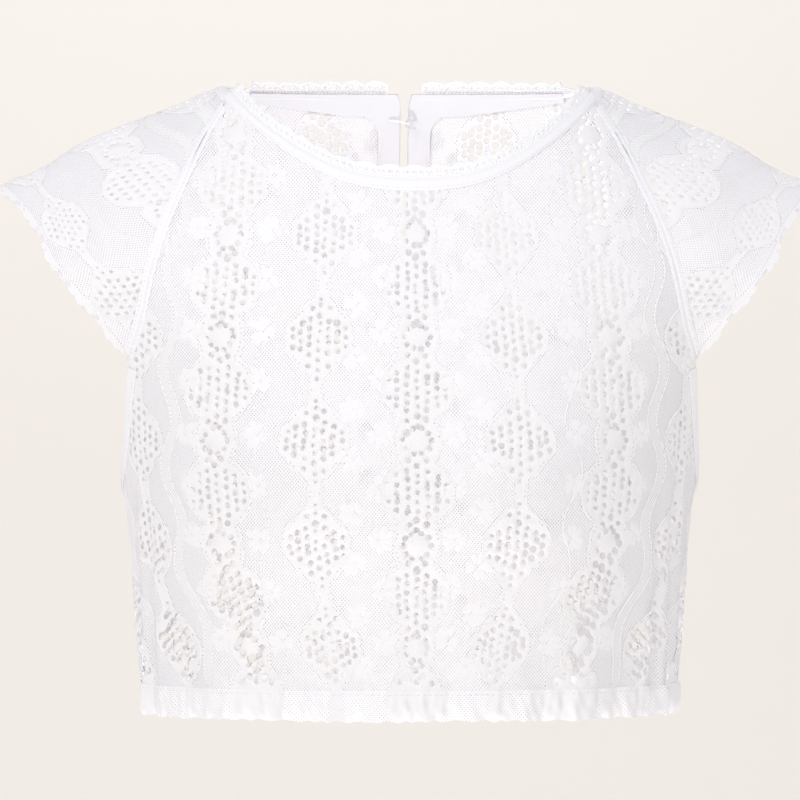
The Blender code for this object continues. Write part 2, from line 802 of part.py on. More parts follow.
def neck_point(step, depth):
    """A point on the cloth, at a distance below the neck edge."""
    kind, side, at = step
    if kind == "front":
        x = NECK_FRONT_HALF * math.sin(at * math.pi / 2)
        z = neck_z(x, False)
        s = around(x, z, False)
        lean = abs(at) ** 3
        across = math.copysign(depth * BAND_LEAN * lean, at)
        return torso(s + across, z - depth * (1 - BAND_LEVEL * lean), False)
    if kind == "back":
        x = at
        z = neck_z(x, True)
        return torso(around(x, z, True), z - depth, True)
    return sleeve_points(depth / SLEEVE_LONG, at, side)


def neck_band():
    rows = []
    for step in neck_path(31, 7):
        rows.append([neck_point(step, d) for d in (BAND_TOP, NECK_BAND / 2, NECK_BAND)])
    return lay("neck_band", rows, BAND_LIFT, (0.0, 0.0, -0.12))


def neck_edging():
    """Scalloped picot edging on the neck edge, all round it but for the slit."""
    back_x = np.linspace(EDGING_END, NECK_BACK_HALF, 26)
    steps = [("back", 0, -x) for x in back_x[:-1]]
    steps += neck_path(65, 17)
    steps += [("back", 0, x) for x in back_x[::-1][1:]]
    base = np.array([neck_point(step, 0.0) for step in steps])
    below = np.array([neck_point(step, 0.004) for step in steps])
    up = base - below
    up = up / np.linalg.norm(up, axis=1)[:, None]
    run = np.concatenate([[0], np.cumsum(np.linalg.norm(np.diff(base, axis=0), axis=1))])
    count = round(run[-1] / EDGING_PITCH) * EDGING_STEPS + 1
    at = np.linspace(0, run[-1], count)
    base = np.stack([np.interp(at, run, base[:, i]) for i in range(3)], axis=1)
    up = np.stack([np.interp(at, run, up[:, i]) for i in range(3)], axis=1)
    rows = []
    for i in range(count):
        scallop = abs(math.sin(math.pi * i / EDGING_STEPS))
        top = EDGING_HEIGHT - EDGING_SCALLOP * (1 - scallop)
        rows.append([base[i] + up[i] * h for h in (EDGING_FOOT, top)])
    return strip("neck_edging", rows, EDGING, TAPE, (0.0, 0.0, -0.12))


def under_back_neck(x, depth):
    """A place (s, z) on the back panel, at a depth below its neck edge."""
    z = neck_z(x, True)
    return around(x, z, True), z - depth


def back_facing(name, side, panel):
    """A facing inside the back: a strip under the neck edge that turns down the slit."""
    inner_s = SLIT_HALF + FACING_SLIT
    corner_z = NECK_BACK_RISE - FACING_TALL
    top_x = np.linspace(FACING_END_X, SLIT_TOP_HALF + TRIM_INSET, 14)
    top = [under_back_neck(x, TRIM_INSET) for x in top_x]
    slit_z = np.linspace(NECK_BACK_RISE - SLIT_FLARE, SLIT_BOTTOM_Z, 7)
    slit = [(SLIT_HALF + TRIM_INSET, z) for z in slit_z]
    foot = [(inner_s, SLIT_BOTTOM_Z)]
    rise_z = np.linspace(SLIT_BOTTOM_Z + FACING_FOOT, corner_z - FACING_ROUND, 5)
    rise = [(inner_s, z) for z in rise_z]
    bend = []
    for turn in np.linspace(math.pi, math.pi / 2, 5)[1:]:
        s = inner_s + FACING_ROUND * (1 + math.cos(turn))
        bend.append((s, corner_z - FACING_ROUND * (1 - math.sin(turn))))
    low = []
    for share in np.linspace(0, 1, 7):
        x = FACING_TURN_X + (FACING_END_X - FACING_TURN_X) * share
        low.append(under_back_neck(x, FACING_TALL + (FACING_NARROW - FACING_TALL) * share))
    outline = np.array(top + slit + foot + rise + bend + low)
    fill = fill_points(outline, FACING_GRID)
    room = edge_distance(fill, outline)
    fill = fill[inside(fill, outline) & (room > FACING_GRID_MARGIN)]
    flat, faces = triangulate(outline, [], fill, False)
    points = laid_inside(panel, torso(flat[:, 0] * side, flat[:, 1], True))
    return add_shell(name, points, faces, SMOOTH_TAPE, TAPE)


def hem_casing(name, back):
    """Half of the hem's casing, thicker than the cloth and gathered by its elastic."""
    reach = quarter(HEM_Z, back) - GAP / 2
    heights = ((CASING_TOP_Z, 0.0), ((CASING_TOP_Z + HEM_Z) / 2, CASING_FULL), (HEM_Z, 0.0))
    rows = []
    for s in np.linspace(-reach, reach, CASING_COLUMNS + 1):
        row = []
        for z, full in heights:
            scale = quarter(z, back) / quarter(HEM_Z, back)
            row.append(torso(s * scale, z, back, full))
        rows.append(row)
    return strip(name, rows, LACE, CASING_WALL, (0.0, 0.0, HEM_Z))


def wire(name, route, radius, material):
    """A round wire or thread through a short route."""
    curve = bpy.data.curves.new(name, "CURVE")
    curve.dimensions = "3D"
    curve.bevel_depth = radius
    curve.bevel_resolution = 1
    curve.use_fill_caps = True
    spline = curve.splines.new("POLY")
    spline.points.add(len(route) - 1)
    for point, place in zip(spline.points, route):
        point.co = (*place, 1.0)
    obj = bpy.data.objects.new(name, curve)
    obj.data.materials.append(material)
    BLOUSE.objects.link(obj)
    return obj


def closure():
    """The hook on one side of the slit and the thread loop on the other, hooked together."""
    face = ON_WALL + TAPE / 2 + GAP
    y = float(torso(0.0, HOOK_Z, True)[1]) - face - LOOP_WIRE - HOOK_CLEAR
    hook = [(x, y - inward, HOOK_Z + up) for x, inward, up in HOOK_PATH]
    wire("closure_hook", hook, HOOK_WIRE, WIRE)
    x, inward, up = LOOP_MIDDLE
    loop = []
    for turn in np.linspace(-LOOP_TURN, LOOP_TURN, 11):
        across = x - LOOP_HALF_WIDE * math.cos(turn)
        loop.append((across, y - inward, HOOK_Z + up + LOOP_HALF_TALL * math.sin(turn)))
    for end in (0, -1):
        loop[end] = (LOOP_FOOT[0], y - LOOP_FOOT[1], loop[end][2])
    wire("closure_loop", loop, LOOP_WIRE, THREAD)


front = body_panel("front_panel", False)
rear = body_panel("back_panel", True)
for side_name, side in (("right", -1), ("left", 1)):
    sleeve(f"sleeve_{side_name}", side)
    raglan_tape(f"raglan_tape_front_{side_name}", False, side)
    raglan_tape(f"raglan_tape_back_{side_name}", True, side)
    binding(f"armhole_binding_{side_name}", side)
    back_facing(f"back_facing_{side_name}", side, rear)
neck_band()
neck_edging()
hem_casing("hem_casing_front", False)
hem_casing("hem_casing_back", True)
closure()
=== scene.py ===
import math

import bpy
import numpy as np
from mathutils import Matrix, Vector
from mathutils.geometry import delaunay_2d_cdt
from mathutils.kdtree import KDTree


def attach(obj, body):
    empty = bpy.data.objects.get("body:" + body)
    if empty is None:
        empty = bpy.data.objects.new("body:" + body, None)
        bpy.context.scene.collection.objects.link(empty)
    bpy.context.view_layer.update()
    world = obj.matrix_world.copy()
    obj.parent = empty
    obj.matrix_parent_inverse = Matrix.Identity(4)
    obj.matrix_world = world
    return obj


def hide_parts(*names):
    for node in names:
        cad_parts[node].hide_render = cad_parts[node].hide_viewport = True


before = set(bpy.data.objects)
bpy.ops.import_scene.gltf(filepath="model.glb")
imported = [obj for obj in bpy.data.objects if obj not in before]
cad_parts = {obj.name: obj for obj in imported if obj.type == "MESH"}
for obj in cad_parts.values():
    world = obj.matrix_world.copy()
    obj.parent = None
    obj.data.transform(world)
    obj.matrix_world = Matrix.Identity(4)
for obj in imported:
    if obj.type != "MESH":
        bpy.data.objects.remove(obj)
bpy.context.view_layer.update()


# Front panel
# Soft stretch lace, cut in one piece from the neck edge down to the casing.
# Columns of openwork medallions run down a fine net; the side edges are the
# raglan seams above and the armhole edges below them.

# Height, half width, depth in front and depth behind of the worn body
BODY_RINGS = np.array([
    (-0.3265, 0.1380, 0.0945, 0.0930),
    (-0.3115, 0.1395, 0.0960, 0.0940),
    (-0.2900, 0.1415, 0.0990, 0.0955),
    (-0.2600, 0.1442, 0.1040, 0.0970),
    (-0.2250, 0.1482, 0.1120, 0.0990),
    (-0.2030, 0.1520, 0.1150, 0.1005),
    (-0.1650, 0.1590, 0.1140, 0.1020),
    (-0.1300, 0.1680, 0.1100, 0.1010),
    (-0.1060, 0.1720, 0.1050, 0.0990),
    (-0.0880, 0.1690, 0.0990, 0.0965),
    (-0.0670, 0.1610, 0.0905, 0.0930),
    (-0.0470, 0.1470, 0.0800, 0.0870),
    (-0.0240, 0.1265, 0.0660, 0.0780),
    (0.0000, 0.1020, 0.0500, 0.0670),
    (0.0160, 0.0830, 0.0400, 0.0590),
])
HEM_Z = -0.3265
CASING_TOP_Z = -0.3115
UNDERARM_Z = -0.2030
SEAM_GAP = 0.0003

CUP_X = 0.0620
CUP_Z = -0.2050
CUP_DEPTH = 0.0090
CUP_WIDTH = 0.0380
CUP_HEIGHT = 0.0420

NECK_FRONT_DROP = 0.0470
NECK_BACK_RISE = 0.0040
NECK_CURVE = 2.6
NECK_FRONT_HALF = 0.0920
NECK_BACK_HALF = 0.0860
NECK_BACK_SEAM_Z = 0.0030

# Height of the raglan seam and armhole edge, and its distance from the middle
RAGLAN = np.array([
    (0.0000, 0.0920),
    (-0.0240, 0.1060),
    (-0.0470, 0.1170),
    (-0.0670, 0.1258),
    (-0.0880, 0.1330),
    (-0.1065, 0.1373),
    (-0.1230, 0.1410),
    (-0.1410, 0.1468),
    (-0.1530, 0.1482),
    (-0.1650, 0.1490),
    (-0.1800, 0.1499),
    (-0.1900, 0.1508),
    (-0.1970, 0.1514),
    (-0.2010, 0.1517),
])
SLEEVE_CORNER_Z = -0.1410

# Gathers that the elastic of the hem draws up into the cloth
GATHERS = 26
GATHER_DEPTH = 0.0011
GATHER_REACH = 0.0350

# Soft folds: place at the hem, place and height of the far end, width and depth
FRONT_FOLDS = (
    (-0.198, -0.195, -0.150, 0.0030, -0.0020),
    (-0.188, -0.184, -0.140, 0.0030, 0.0025),
    (-0.178, -0.174, -0.160, 0.0028, -0.0024),
    (-0.169, -0.167, -0.145, 0.0026, 0.0026),
    (-0.160, -0.159, -0.180, 0.0028, -0.0022),
    (-0.150, -0.153, -0.195, 0.0030, 0.0018),
    (-0.128, -0.138, -0.242, 0.0042, -0.0013),
    (-0.103, -0.120, -0.262, 0.0046, 0.0015),
    (-0.074, -0.092, -0.262, 0.0050, -0.0012),
    (-0.047, -0.066, -0.258, 0.0052, 0.0019),
    (-0.034, -0.050, -0.268, 0.0040, -0.0013),
    (-0.012, -0.020, -0.283, 0.0040, 0.0009),
    (0.016, 0.012, -0.288, 0.0044, -0.0009),
    (0.041, 0.044, -0.276, 0.0048, 0.0012),
    (0.066, 0.073, -0.268, 0.0042, -0.0010),
    (0.089, 0.098, -0.255, 0.0048, 0.0013),
    (0.114, 0.123, -0.235, 0.0044, -0.0014),
    (0.131, 0.137, -0.195, 0.0030, 0.0018),
    (0.140, 0.144, -0.165, 0.0028, -0.0024),
    (0.148, 0.151, -0.135, 0.0027, 0.0025),
    (0.157, 0.158, -0.130, 0.0026, -0.0030),
    (0.165, 0.166, -0.120, 0.0026, 0.0030),
    (0.174, 0.174, -0.130, 0.0028, -0.0030),
    (0.184, 0.183, -0.125, 0.0030, 0.0028),
    (0.195, 0.194, -0.140, 0.0032, -0.0024),
)


def through(xs, ys, x):
    """A smooth curve through the points (xs, ys), with xs rising, read at x."""
    slopes = np.gradient(ys, xs)
    x = np.clip(x, xs[0], xs[-1])
    i = np.clip(np.searchsorted(xs, x) - 1, 0, len(xs) - 2)
    step = xs[i + 1] - xs[i]
    t = (x - xs[i]) / step
    near = (1 + 2 * t) * (1 - t) ** 2 * ys[i] + t * (1 - t) ** 2 * step * slopes[i]
    far = t * t * (3 - 2 * t) * ys[i + 1] + t * t * (t - 1) * step * slopes[i + 1]
    return near + far


def unit(rows):
    """Rows of vectors, each at length one."""
    return rows / np.maximum(np.linalg.norm(rows, axis=-1), 1e-12)[..., None]


def length_of(line):
    """Length of a line of points."""
    return np.linalg.norm(np.diff(line, axis=0), axis=1).sum()


def run_along(line):
    """How far along a line each of its points lies."""
    return np.concatenate([[0], np.cumsum(np.linalg.norm(np.diff(line, axis=0), axis=1))])


def read_line(line, run, at):
    """Points of a line, read at distances along it."""
    return np.stack([np.interp(at, run, line[:, i]) for i in range(line.shape[1])], axis=-1)


def even_steps(line, count):
    """The line's points again, evenly spaced along it."""
    run = run_along(line)
    return read_line(line, run, np.linspace(0, run[-1], count))


def body_ring(z, back):
    """Half width and depth of the body at height z."""
    column = 3 if back else 2
    return (
        through(BODY_RINGS[:, 0], BODY_RINGS[:, 1], z),
        through(BODY_RINGS[:, 0], BODY_RINGS[:, column], z),
    )


def quarter_round(z, back):
    """Length round the body from the middle to the side seam."""
    half, depth = body_ring(z, back)
    return (half + depth) / 2 * math.pi / 2


def round_to(x, z, back):
    """How far round the body the cloth is x from the middle."""
    half, depth = body_ring(z, back)
    angle = np.arcsin(np.clip(x / half, -1, 1))
    return (half + depth) / 2 * angle + (half - depth) / 4 * np.sin(2 * angle)


def soft_folds(s, z, folds):
    """How far the soft folds lift the cloth."""
    lift = 0 * s
    for at_hem, at_top, top_z, width, depth in folds:
        up = np.clip((z - HEM_Z) / (top_z - HEM_Z), 0, 1)
        line = at_hem + (at_top - at_hem) * up ** 1.3
        fade = np.cos(up * math.pi / 2) ** 2
        wide = width * (1 + 0.8 * up)
        lift = lift + depth * fade * np.exp(-(((s - line) / wide) ** 2) / 2)
    return lift


def gathers(s, z):
    """How far the hem's gathers lift the cloth."""
    fade = np.clip(1 - (z - HEM_Z) / GATHER_REACH, 0, 1)
    turn = s / quarter_round(HEM_Z, False)
    wave = np.sin(turn * GATHERS / 4 * 2 * math.pi + 1.3 * np.sin(turn * 5.0))
    return GATHER_DEPTH * fade * fade * wave


def body_cloth(s, z, back=False, lift=0.0, folds=None):
    """Points of the body's cloth, s round from the middle at height z."""
    s = np.asarray(s, float)
    z = np.asarray(z, float)
    half, depth = body_ring(z, back)
    mean = (half + depth) / 2
    angle = s / mean - (half - depth) / (4 * mean) * np.sin(2 * s / mean)
    push = lift + gathers(s, z)
    if folds is not None:
        push = push + soft_folds(s, z, folds)
    x = (half + push) * np.sin(angle)
    y = (depth + push) * np.cos(angle)
    if not back:
        cups = np.exp(-(((x - CUP_X) / CUP_WIDTH) ** 2) / 2)
        cups = cups + np.exp(-(((x + CUP_X) / CUP_WIDTH) ** 2) / 2)
        y = y + CUP_DEPTH * cups * np.exp(-(((z - CUP_Z) / CUP_HEIGHT) ** 2) / 2)
    return np.stack([x, y if back else -y, z + 0 * x], axis=-1)


def neck_z(x, back):
    """Height of the neck edge, x from the middle."""
    if back:
        share = np.clip(np.abs(x) / NECK_BACK_HALF, 0, 1)
        return NECK_BACK_RISE + (NECK_BACK_SEAM_Z - NECK_BACK_RISE) * share**2
    share = np.clip(np.abs(x) / NECK_FRONT_HALF, 0, 1)
    return -NECK_FRONT_DROP * (1 - share**NECK_CURVE)


def raglan_x(z):
    """Distance of the raglan seam or armhole edge from the middle, at height z."""
    return through(RAGLAN[::-1, 0], RAGLAN[::-1, 1], z)


def raglan_edge(back, count):
    """Down the left raglan seam and armhole edge, as rows of (s, z)."""
    top = NECK_BACK_SEAM_Z if back else 0.0
    z = np.linspace(top, RAGLAN[-1, 0], count)
    x = raglan_x(np.minimum(z, 0.0))
    over = NECK_BACK_HALF + (RAGLAN[0, 1] - NECK_BACK_HALF) * (top - z) / max(top, 1e-9)
    x = np.where(z > 0, over, x)
    edge = np.stack([round_to(x, z, back), z], axis=1)
    return np.vstack([edge, [(quarter_round(UNDERARM_Z, back), UNDERARM_Z)]])


def moved_in(outline, distance):
    """A closed outline moved in from its edge."""
    after = np.roll(outline, -1, axis=0)
    ahead = unit(after - outline)
    across = np.stack([-ahead[:, 1], ahead[:, 0]], axis=1)
    turn = np.sum(outline[:, 0] * after[:, 1] - after[:, 0] * outline[:, 1])
    across = across * np.sign(turn)
    corner = across + np.roll(across, 1, axis=0)
    corner = corner / np.maximum(np.sum(corner * across, axis=1), 0.3)[:, None]
    return outline + distance * corner


def panel_outline(back, slit=None):
    """The cut edge of a body panel, with an optional slit from the neck."""
    seam = raglan_edge(back, 60)
    side_z = np.linspace(UNDERARM_Z, CASING_TOP_Z + SEAM_GAP, 28)[1:]
    side = np.stack([quarter_round(side_z, back), side_z], axis=1)
    left = np.vstack([seam, side])
    hem_s = np.linspace(side[-1, 0], -side[-1, 0], 131)[1:-1]
    hem = np.stack([hem_s, np.full_like(hem_s, CASING_TOP_Z + SEAM_GAP)], axis=1)
    reach = NECK_BACK_HALF if back else NECK_FRONT_HALF
    x = reach * np.sin(np.linspace(-math.pi / 2, math.pi / 2, 61))[1:-1]
    neck = np.stack([round_to(x, neck_z(x, back), back), neck_z(x, back)], axis=1)
    if slit is not None:
        clear = np.abs(neck[:, 0]) > 1.5 * slit[:, 0].max()
        on_right = neck[clear & (neck[:, 0] < 0)]
        on_left = neck[clear & (neck[:, 0] > 0)]
        neck = np.vstack([on_right, slit * (-1, 1), slit[::-1][1:], on_left])
    return moved_in(np.vstack([left, hem, left[::-1] * (-1, 1), neck]), SEAM_GAP / 2)


# The lace repeat. Even columns chain large and small medallions, odd columns
# chain wide ones by narrow necks. Millimetres across, up, and radius of each gap
COLUMN = 0.0500
REPEAT = 0.0530
EVEN_START_Z = -0.0500
ODD_START_Z = -0.0765
COLUMN_SPREAD_Z = (-0.3265, -0.3000, -0.2730, -0.2360, -0.1880, -0.1000, -0.0300)
COLUMN_SPREAD = (0.820, 0.850, 0.930, 1.050, 1.085, 1.000, 0.935)
EVEN_GAPS = [(0.0, z, 1.05) for z in (8.8, 4.4, 0.0, -4.4, -8.8)]
EVEN_GAPS += [(5.0, z, 1.15) for z in (10.8, 6.5, 2.2, -2.2, -6.5, -10.8)]
EVEN_GAPS += [(10.0, z, 1.2) for z in (8.4, 4.3, 0.0, -4.3, -8.4)]
EVEN_GAPS += [(14.4, z, 1.0) for z in (4.4, 0.1, -4.2)]
EVEN_GAPS += [(4.2, 16.8, 1.2), (0.0, 14.0, 1.45), (0.0, -13.6, 1.35)]
EVEN_GAPS += [(4.4, -16.1, 1.25), (0.0, -18.6, 1.2)]
for turn in range(5):
    angle = math.radians(72 - 36 * turn)
    EVEN_GAPS.append((6.6 * math.cos(angle), -26.5 + 6.6 * math.sin(angle), 1.2))
ODD_GAPS = [(0.0, 11.4, 1.4), (0.0, 6.6, 1.0), (0.0, 2.2, 0.9)]
ODD_GAPS += [(0.0, -2.2, 0.9), (0.0, -6.6, 1.0), (0.0, -11.4, 1.3)]
ODD_GAPS += [(4.6, z, 1.15) for z in (14.8, 8.8, 4.4, 0.0, -4.4, -8.8, -14.8)]
ODD_GAPS += [(9.2, z, 1.25) for z in (6.7, 2.2, -2.3, -6.8)]
ODD_GAPS += [(13.4, z, 1.05) for z in (4.2, -0.2, -4.6)]
ODD_GAPS += [(0.0, 16.6, 1.0), (0.0, 20.4, 0.85), (0.0, -17.0, 1.0), (0.0, -20.8, 0.85)]
# How much wider than its chart the worn cloth's stretch opens each gap
OPENED = 1.33
GAP_SIDES = 8
MM = 0.001
# In millimetres: half height of a wide medallion, how far it swells, and half width of its neck
WIDE_TALL, WIDE_HALF, WIDE_NECK = 19.0, 14.0, 3.4
# The same of large and small medallions, and the half width of the column where they meet
LARGE_TALL, LARGE_HALF, SMALL_TALL, SMALL_HALF, EVEN_LEAST = 15.5, 10.4, 10.8, 3.9, 7.6

# Step of the finely drawn edges of the columns
FINE_STEP = 0.0003
# The low rim of thread round each gap
CREST = 0.00034
CREST_LIFT = 0.00030
# Pin-prick gaps: how far inside a column's edge they lie, their radius, the lift of their
# rim, their pitch along a row, and how far they stay from each other and from other points
PRICK_IN = 0.0010
PRICK_RADIUS = 0.00048
PRICK_LIFT = 0.00015
PRICK_PITCH = 0.0024
PRICK_APART = 0.0016
PRICK_CLEAR = 0.0015
# Cloth left between a gap and the edge, and between a gap and its neighbours
EDGE_ROOM = 0.0012
GAP_ROOM = 0.0010
# A face is open where its middle is this near: a share of a gap's radius, or a distance from a prick
GAP_OPEN = 0.88
PRICK_OPEN = 0.00030
# How unevenly the gaps lie: up, across, in size, in height and in tilt
UNEVEN_UP = 0.00040
UNEVEN_ACROSS = 0.00036
UNEVEN_SIZE = 0.09
UNEVEN_TALL = 0.06
UNEVEN_TILT = 0.25
# Below this height and beyond this distance the cloth is pulled down, which widens,
# lengthens and tilts its gaps
PULLED_Z = -0.225
PULLED_SIDE = 0.045
PULLED_FADE = 0.04
PULLED_WIDE = 0.28
PULLED_TALL = 0.50
PULLED_TILT = 0.45
TALLER = 1.08


def start_of(column):
    """Height of a medallion's middle in a column of the chart."""
    return ODD_START_Z if column % 2 else EVEN_START_Z


def column_half(column, z):
    """Half width of a column's openwork at height z."""
    at = (z - start_of(column)) / MM
    period = REPEAT / MM
    at = (at + period / 2) % period - period / 2
    if column % 2:
        medallion = np.clip(1 - (at / WIDE_TALL) ** 2, 0, 1) ** 1.1
        return (WIDE_NECK + WIDE_HALF * medallion) * MM
    large = np.clip(1 - (at / LARGE_TALL) ** 2, 0, 1) ** 0.6
    small = np.clip(1 - ((period / 2 - np.abs(at)) / SMALL_TALL) ** 2, 0, 1) ** 0.6
    return (EVEN_LEAST + LARGE_HALF * large + SMALL_HALF * small) * MM


def spread(z):
    """How far the worn cloth spreads the columns at height z."""
    return np.interp(z, COLUMN_SPREAD_Z, COLUMN_SPREAD)


def lace_gaps(columns, low_z, high_z, seed):
    """Gaps of the openwork as rows of (s, z, radius across, radius up, tilt)."""
    draw = np.random.default_rng(seed)
    rows = []
    for column in columns:
        chart = ODD_GAPS if column % 2 else EVEN_GAPS
        for repeat in range(-1, 7):
            middle = start_of(column) - repeat * REPEAT
            for across, up, radius in chart:
                for side in ((1, -1) if across else (1,)):
                    z = middle + up * MM + draw.normal(0, UNEVEN_UP)
                    s = (column * COLUMN + side * across * MM) * spread(z) + draw.normal(0, UNEVEN_ACROSS)
                    grow = OPENED * (1 + draw.normal(0, UNEVEN_SIZE))
                    pulled = np.clip((PULLED_Z - z) / PULLED_FADE, 0, 1)
                    pulled = pulled * np.clip((abs(s) - PULLED_SIDE) / PULLED_FADE, 0, 1)
                    wide = radius * MM * grow * (spread(z) ** 0.5 + PULLED_WIDE * pulled)
                    tall = TALLER + PULLED_TALL * pulled + draw.normal(0, UNEVEN_TALL)
                    tall = radius * MM * grow * tall
                    tilt = PULLED_TILT * pulled * np.sign(s) + draw.normal(0, UNEVEN_TILT)
                    if low_z < z < high_z:
                        rows.append((s, z, wide, tall, tilt))
    return np.array(rows)


def edge_gaps(columns, low_z, high_z):
    """The row of pin-prick gaps just inside the edge of each column."""
    rows = []
    for column in columns:
        z = np.arange(low_z, high_z, FINE_STEP)
        half = column_half(column, z) - PRICK_IN
        for side in (1, -1):
            s = (column * COLUMN + side * half) * spread(z)
            run = np.concatenate([[0], np.cumsum(np.hypot(np.diff(s), np.diff(z)))])
            rows.append(read_line(np.stack([s, z], axis=1), run, np.arange(0, run[-1], PRICK_PITCH)))
    return np.vstack(rows)


def inside(points, polygon):
    """Which of the points lie inside a polygon."""
    found = []
    x0, y0 = polygon[:, 0], polygon[:, 1]
    x1, y1 = np.roll(x0, -1), np.roll(y0, -1)
    for part in np.array_split(points, max(1, len(points) // 4000)):
        x, y = part[:, :1], part[:, 1:2]
        crosses = (y0 > y) != (y1 > y)
        with np.errstate(divide="ignore", invalid="ignore"):
            at = x0 + (y - y0) / (y1 - y0) * (x1 - x0)
        found.append((crosses & (x < at)).sum(axis=1) % 2 == 1)
    return np.concatenate(found)


def edge_distance(points, polygon):
    """Distance of each point from a polygon's edge."""
    found = []
    a = polygon[None]
    d = np.roll(polygon, -1, axis=0)[None] - a
    for part in np.array_split(points, max(1, len(points) // 2000)):
        p = part[:, None] - a
        t = np.clip((p * d).sum(-1) / np.maximum((d * d).sum(-1), 1e-18), 0, 1)
        found.append(np.linalg.norm(p - t[..., None] * d, axis=-1).min(axis=1))
    return np.concatenate(found)


def tree_of(points):
    """Flat points in a tree that finds the nearest one."""
    tree = KDTree(len(points))
    for i, p in enumerate(points):
        tree.insert((p[0], p[1], 0.0), i)
    tree.balance()
    return tree


def staggered(outline, spacing):
    """Points over a flat piece, in staggered rows that make even triangles."""
    low, high = outline.min(axis=0), outline.max(axis=0)
    rows = []
    for number, z in enumerate(np.arange(low[1], high[1], spacing * 0.87)):
        x = np.arange(low[0], high[0], spacing) + spacing / 2 * (number % 2)
        rows.append(np.stack([x, np.full_like(x, z)], axis=1))
    return np.vstack(rows)


def far_from(tree, points, room):
    """Which of the points lie further than this from every point of a tree."""
    return np.array([tree.find((x, z, 0))[2] > room for x, z in points], bool)


def pricks_apart(pricks, outline, near_gap, wide):
    """The pin-pricks that keep clear of the edge, the gaps and each other."""
    keep = inside(pricks, outline) & (edge_distance(pricks, outline) > EDGE_ROOM)
    apart = []
    for x, z in pricks[keep & far_from(near_gap, pricks, wide + GAP_ROOM)]:
        if all(math.hypot(x - a, z - b) > PRICK_APART for a, b in apart[-400:]):
            apart.append((x, z))
    return np.array(apart)


def filled(flat, faces, outline, gaps, near_gap, near_prick):
    """Which of the faces are cloth, and not gap or outside."""
    middles = flat[faces].mean(axis=1)
    solid = inside(middles, outline)
    for i in np.flatnonzero(solid):
        x, z = middles[i]
        s, up, a, b, tilt = gaps[near_gap.find((x, z, 0))[1]]
        off_s = (x - s) * math.cos(tilt) + (z - up) * math.sin(tilt)
        off_z = (z - up) * math.cos(tilt) - (x - s) * math.sin(tilt)
        solid[i] = math.hypot(off_s / a, off_z / b) >= GAP_OPEN
        if near_prick is not None and near_prick.find((x, z, 0))[2] < PRICK_OPEN:
            solid[i] = False
    return solid


def cut_lace(outline, gaps, pricks, spacing):
    """Triangles of a flat lace piece with its gaps cut out.

    Returns the flat points, how high each one stands, and the faces."""
    points, heights, edges = [], [], []

    def add_ring(places, lift, cut):
        """Adds points of one height, joined in a ring if the cloth is cut there."""
        start, count = len(points), len(places)
        points.extend(places)
        heights.extend([lift] * count)
        if cut:
            edges.extend((start + i, start + (i + 1) % count) for i in range(count))

    add_ring(outline, 0.0, True)
    turn = np.arange(GAP_SIDES) * 2 * math.pi / GAP_SIDES
    ring = np.stack([np.cos(turn), np.sin(turn)], axis=1)
    room = edge_distance(gaps[:, :2], outline)
    gaps = gaps[inside(gaps[:, :2], outline) & (room > gaps[:, 2:4].max(axis=1) + EDGE_ROOM)]
    near_gap, near_prick = tree_of(gaps), None
    wide = gaps[:, 2:4].max()
    if len(pricks):
        pricks = pricks_apart(pricks, outline, near_gap, wide)
        near_prick = tree_of(pricks)
    for s, z, across, up, tilt in gaps:
        lean = np.array([[math.cos(tilt), math.sin(tilt)], [-math.sin(tilt), math.cos(tilt)]])
        add_ring((s, z) + ring * (across, up) @ lean, 0.0, True)
        add_ring((s, z) + ring * (across + CREST, up + CREST) @ lean, CREST_LIFT, False)
    for place in pricks:
        add_ring(place + ring[::2] * PRICK_RADIUS, PRICK_LIFT, True)
    fill = staggered(outline, spacing)
    fill = fill[inside(fill, outline) & (edge_distance(fill, outline) > spacing * 0.35)]
    fill = fill[far_from(near_gap, fill, wide + CREST + GAP_ROOM)]
    if near_prick is not None:
        fill = fill[far_from(near_prick, fill, PRICK_CLEAR)]
    add_ring(fill, 0.0, False)
    flat, _, faces, origin, _, _ = delaunay_2d_cdt([Vector(p) for p in points], edges, [], 0, 1e-7)
    flat, faces = np.array([tuple(p) for p in flat]), np.array(faces)
    height = np.array([max((heights[i] for i in ids), default=0.0) for ids in origin])
    faces = faces[filled(flat, faces, outline, gaps, near_gap, near_prick)]
    used = np.unique(faces)
    renumber = np.full(len(flat), -1)
    renumber[used] = np.arange(len(used))
    return flat[used], height[used], renumber[faces]


CLOTH = bpy.data.collections.new("lace_blouse")
bpy.context.scene.collection.children.link(CLOTH)


def add_piece(name, points, faces, material, flat=None, marks=None, wall=0.0, center=None):
    """A mesh piece on the body's frame, with an optional flat layout and wall."""
    mesh = bpy.data.meshes.new(name)
    mesh.from_pydata([tuple(p) for p in points], [], [tuple(int(i) for i in f) for f in faces])
    mesh.shade_smooth()
    if center is not None:
        normals = np.array([p.normal[:] for p in mesh.polygons])
        middles = np.array([p.center[:] for p in mesh.polygons])
        if np.sum(normals * (middles - np.array(center))) < 0:
            mesh.flip_normals()
    if flat is not None:
        layer = mesh.uv_layers.new(name="cloth")
        corners = np.empty(len(mesh.loops), int)
        mesh.loops.foreach_get("vertex_index", corners)
        layer.data.foreach_set("uv", (np.asarray(flat)[corners] * 10).astype(np.float32).ravel())
    for key, values in (marks or {}).items():
        attribute = mesh.attributes.new(key, "FLOAT", "POINT")
        attribute.data.foreach_set("value", np.asarray(values, np.float32))
    piece = bpy.data.objects.new(name, mesh)
    piece.data.materials.append(material)
    CLOTH.objects.link(piece)
    if wall:
        rim = {}
        for polygon in mesh.polygons:
            for key in polygon.edge_keys:
                rim[key] = rim.get(key, 0) + 1
        for edge in mesh.edges:
            edge.use_edge_sharp = rim[edge.key] == 1
        solidify = piece.modifiers.new("cloth", "SOLIDIFY")
        solidify.thickness = wall
        solidify.offset = 0.0
    return piece


